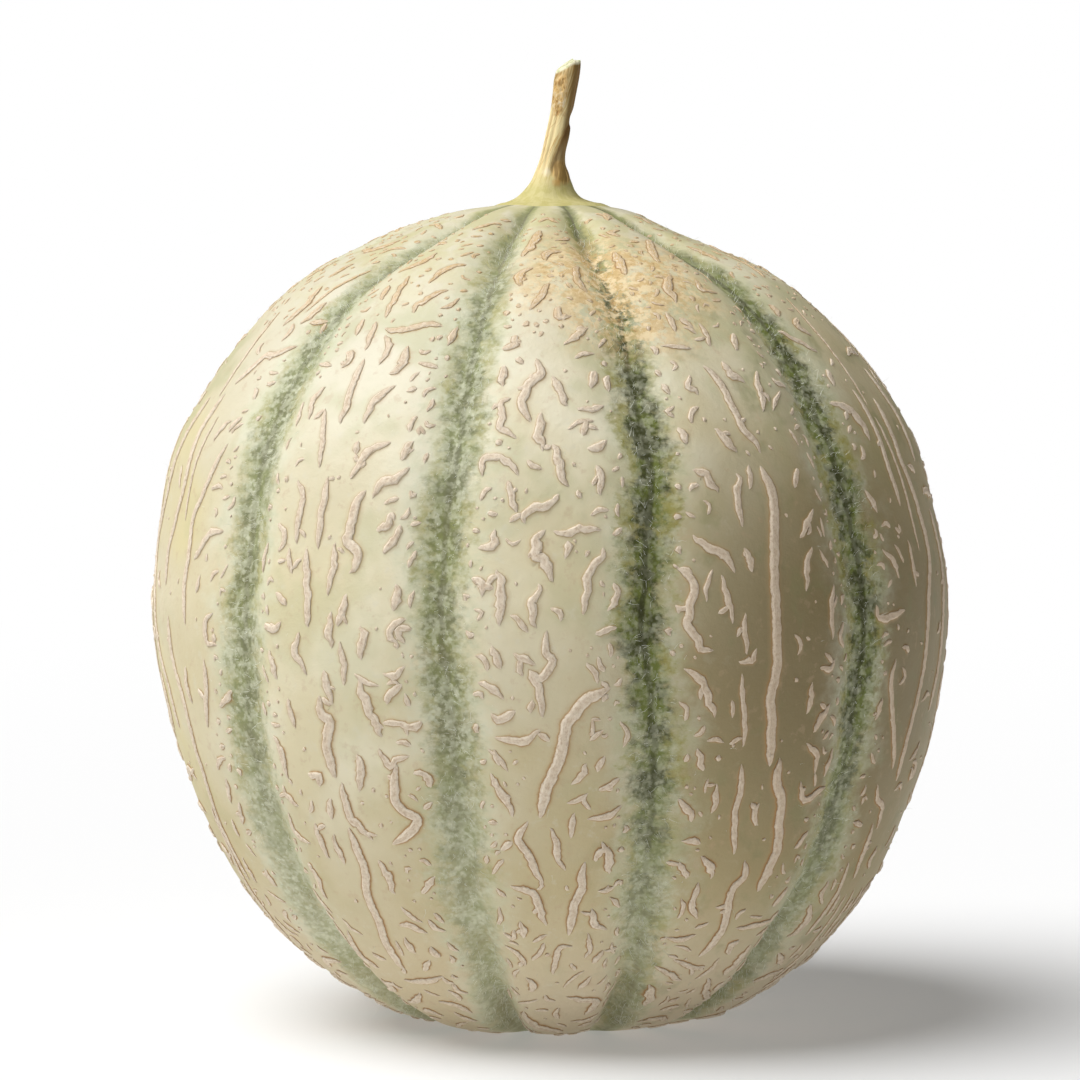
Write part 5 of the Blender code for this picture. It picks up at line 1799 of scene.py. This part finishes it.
@dataclass(frozen=True)
class StalkFinish:
    """The dry stalk's paint: straw ribs, a brown side that is partly painted shade, a flaked patch, a green
    flare and a green cut.
    """

    straw: Colour = srgb(250, 232, 178)
    tan: Colour = srgb(222, 184, 114)
    golden: Colour = srgb(164, 126, 62)
    brown: Colour = srgb(158, 112, 54)
    dark_brown_and_shade: Colour = srgb(98, 70, 34)
    olive: Colour = srgb(122, 94, 42)
    peeled: Colour = srgb(218, 182, 118)
    pearl_and_highlight: Colour = srgb(246, 232, 200)
    flare: Colour = srgb(196, 186, 120)
    rind: Colour = srgb(206, 196, 138)
    green: Colour = srgb(206, 210, 160)
    fresh: Colour = srgb(240, 232, 200)
    orange: Colour = srgb(206, 142, 66)

    def make(self) -> bpy.types.Material:
        """Builds the stalk's material."""
        paint = Paint("dry_stalk", IOR=1.4)
        height = paint.layer("height")
        groove = paint.layer("groove")
        wound = paint.layer("wound")
        flaked = paint.layer("flaked")
        fibre = paint.layer("fibre", "Vector")
        threads = paint.noise(1.0, 3.0, 0.6, 0.0, paint.moved(fibre, (0.0, 0.0, 0.0), (2.4, 2.4, 0.14)))
        blotches = paint.noise(0.0040, 3.0, 0.6, 2.0)
        colour = paint.mix(threads.step(0.50, 0.68), self.straw, self.tan)
        upper = height.step(16.0, 20.0)
        colour = paint.mix(upper * (threads.step(0.40, 0.56) * 0.55 + 0.35), colour, self.golden)
        # partly painted shade: the side right of and behind the deep groove, away from the key light, is
        # olive-brown
        colour = paint.mix(wound.step(2.0, 30.0) * wound.step(175.0, 120.0) * 0.80, colour, self.olive)
        side = paint.layer("side")
        # painted shade and the stalk's own olive-brown: the right side, away from the key light, is mixed
        # towards olive
        colour = paint.mix(side.step(0.12, 0.62) * height.step(8.0, 13.0) * 0.92, colour, self.olive)
        # brown in the grooves, more in the deeper ones: partly the stalk's colour and partly painted shade
        colour = paint.mix(groove * 0.55, colour, self.brown)
        # a band along the deep groove, mixed towards deep brown: partly the stalk's colour and partly
        # painted shade
        colour = paint.mix(wound.step(-8.0, 4.0) * wound.step(40.0, 12.0) * 0.5, colour, self.dark_brown_and_shade)
        colour = paint.mix(blotches.step(0.60, 0.72) * 0.45, colour, self.brown)
        upright = paint.moved(paint.place, (0.0, 0.0, 0.0), (1.5, 1.5, 0.7))
        crumpled = paint.noise(0.0011, 4.0, 0.66, 7.0, upright)
        paler = crumpled.step(0.46, 0.60) * (height.step(20.5, 17.5) * 0.6 + 0.25)
        peel = paint.mix(paler, self.peeled, self.pearl_and_highlight)
        peel = paint.mix(crumpled.step(0.48, 0.38) * 0.75, peel, self.brown)
        colour = paint.mix(flaked.step(0.12, 0.40), colour, peel)
        skin = paint.mix(paint.noise(0.0016, 3.0, 0.6, 6.0).step(0.40, 0.62), self.flare, self.rind)
        colour = paint.mix(height.step(7.4, 2.2), colour, skin)
        face = paint.mix(paint.noise(0.0009, 3.0, 0.6, 8.0).step(0.42, 0.58), self.green, self.fresh)
        colour = paint.mix(paint.math("MAXIMUM", paint.layer("cut"), height.step(24.1, 24.7)), colour, face)
        bulge = paint.near((0.0026, -0.0026, 0.1504), 0.0026, 0.0010, 0.0006)
        colour = paint.mix(bulge * 0.80, colour, self.tan)
        colour = paint.mix(bulge * threads.step(0.40, 0.52) * 0.8, colour, self.olive)
        spot = paint.near((0.0014, -0.0036, 0.1484), 0.0012, 0.0010, 0.0005)
        colour = paint.mix(spot * 0.45, colour, self.orange)
        # painted highlight: a small pale patch on the front of the stalk, low down
        painted_highlight = paint.near((-0.0006, -0.0034, 0.1506), 0.0013, 0.0008, 0.0003)
        colour = paint.mix(painted_highlight * 0.8, colour, self.pearl_and_highlight)
        relief = threads * (1.0 - flaked) * 0.6 + crumpled * flaked * 2.6
        return paint.finish(colour, 0.70, relief, 0.00028)


@dataclass(frozen=True)
class HairFinish:
    """The pale hairs' paint."""

    colour: Colour = srgb(236, 238, 226)

    def make(self) -> bpy.types.Material:
        """Builds the hairs' material."""
        paint = Paint("hair", Roughness=0.6)
        paint.plug(paint.shader.inputs["Base Color"], self.colour)
        return paint.material


@dataclass(frozen=True)
class StageFinish:
    """The studio floor's paint: pale near the fruit, with a faint glow there that lightens the fruit's
    shadow, and plain white light farther away.
    """

    grey: float = 0.66
    # the near floor's faint glow: painted light that lifts the shadow on it
    glow: float = 0.24
    near: float = 0.14
    far: float = 0.80

    def make(self) -> bpy.types.Material:
        """Builds the floor's material."""
        paint = Paint("floor", Roughness=0.9, Emission_Strength=1.0)
        paint.shader.inputs["Specular IOR Level"].default_value = 0.0
        distance = paint.node("ShaderNodeVectorMath", {"operation": "LENGTH"}, {0: paint.place}, "Value")
        away = distance.step(self.near, self.far)
        grey = (self.grey, self.grey, self.grey)
        glow = (self.glow, self.glow, self.glow)
        paint.plug(paint.shader.inputs["Emission Color"], paint.mix(away, glow, (1.0, 1.0, 1.0)))
        return paint.finish(paint.mix(away, grey, (0.0, 0.0, 0.0)), 0.9)


@dataclass
class Studio:
    """A pale floor, a broad soft light from the upper left, and the camera at the photograph's angle."""

    floor_size: float = 16.0
    key_power: float = 4.0
    key_spread: float = 50.0
    key_from: Place = (-0.46, -0.15, 0.875)
    band_top: float = 0.045
    band_end: float = 0.09
    high_light: float = 0.0
    target_height: float = 0.072
    distance: float = 0.84
    elevation: float = 5.0
    lens: float = 157.4
    shift: Spot = (-0.0081, 0.0689)

    def sun(self, name: str, power: float, spread: float, place: Place) -> None:
        """Adds a far light.

        Args:
            name: its name.
            power: its strength.
            spread: how wide it looks from the fruit, in degrees.
            place: the side that it shines from.
        """
        light = bpy.data.lights.new(name, "SUN")
        light.energy = power
        light.angle = math.radians(spread)
        lamp = bpy.data.objects.new(name, light)
        lamp.rotation_euler = Vector(place).to_track_quat("Z", "Y").to_euler()
        bpy.context.scene.collection.objects.link(lamp)

    def sky(self) -> None:
        """Makes the pale backdrop all round, which is dim higher up."""
        world = bpy.data.worlds.new("studio")
        world.use_nodes = True
        nodes, links = world.node_tree.nodes, world.node_tree.links
        place = nodes.new("ShaderNodeTexCoord")
        split = nodes.new("ShaderNodeSeparateXYZ")
        fall = nodes.new("ShaderNodeMapRange")
        links.new(place.outputs["Generated"], split.inputs[0])
        links.new(split.outputs["Z"], fall.inputs["Value"])
        fall.inputs["From Min"].default_value = self.band_top
        fall.inputs["From Max"].default_value = self.band_end
        fall.inputs["To Min"].default_value = 1.0
        fall.inputs["To Max"].default_value = self.high_light
        links.new(fall.outputs[0], nodes["Background"].inputs["Strength"])
        nodes["Background"].inputs["Color"].default_value = (1.0, 1.0, 1.0, 1.0)
        bpy.context.scene.world = world

    def floor(self, material: bpy.types.Material) -> None:
        """Lays the floor."""
        bpy.ops.object.select_all(action="DESELECT")
        bpy.ops.mesh.primitive_plane_add(size=self.floor_size)
        floor = bpy.context.active_object
        floor.name = "floor"
        floor.data.materials.append(material)

    def camera(self) -> None:
        """Sets the camera and the picture's shape."""
        scene = bpy.context.scene
        data = bpy.data.cameras.new("camera")
        data.lens = self.lens
        data.sensor_width = 36.0
        data.shift_x, data.shift_y = self.shift
        data.dof.use_dof = False
        camera = bpy.data.objects.new("camera", data)
        tilt = math.radians(self.elevation)
        back, up = self.distance * math.cos(tilt), self.distance * math.sin(tilt)
        camera.location = (0.0, -back, self.target_height + up)
        camera.rotation_euler = (math.pi / 2 - tilt, 0.0, 0.0)
        scene.collection.objects.link(camera)
        scene.camera = camera
        scene.view_settings.view_transform = "Standard"

    def build(self, material: bpy.types.Material) -> None:
        """Builds the whole studio.

        Args:
            material: the floor's material.
        """
        self.floor(material)
        self.sun("key", self.key_power, self.key_spread, self.key_from)
        self.sky()
        self.camera()
        LOG.info("studio: floor, key light, backdrop and camera")


def main() -> None:
    """Builds the melon's looks and the studio round it."""
    logging.basicConfig(level=logging.INFO, format="%(name)s: %(message)s")
    rind = Rind()
    rind_material = RindFinish().make()
    skin = Skin(rind).build(rind_material)
    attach(skin, "root")
    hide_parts("fruit")
    LOG.info("skin: %d faces", len(skin.data.polygons))
    for piece in Net(rind).build(rind_material):
        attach(piece, "root")
    stalk = Stalk(rind).build(StalkFinish().make())
    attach(stalk, "root")
    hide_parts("stalk")
    LOG.info("stalk: %d faces", len(stalk.data.polygons))
    fuzz = Fuzz(rind).build(HairFinish().make())
    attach(fuzz, "root")
    LOG.info("hairs: %d faces", len(fuzz.data.polygons))
    Studio().build(StageFinish().make())


if __name__ == "__main__":
    main()
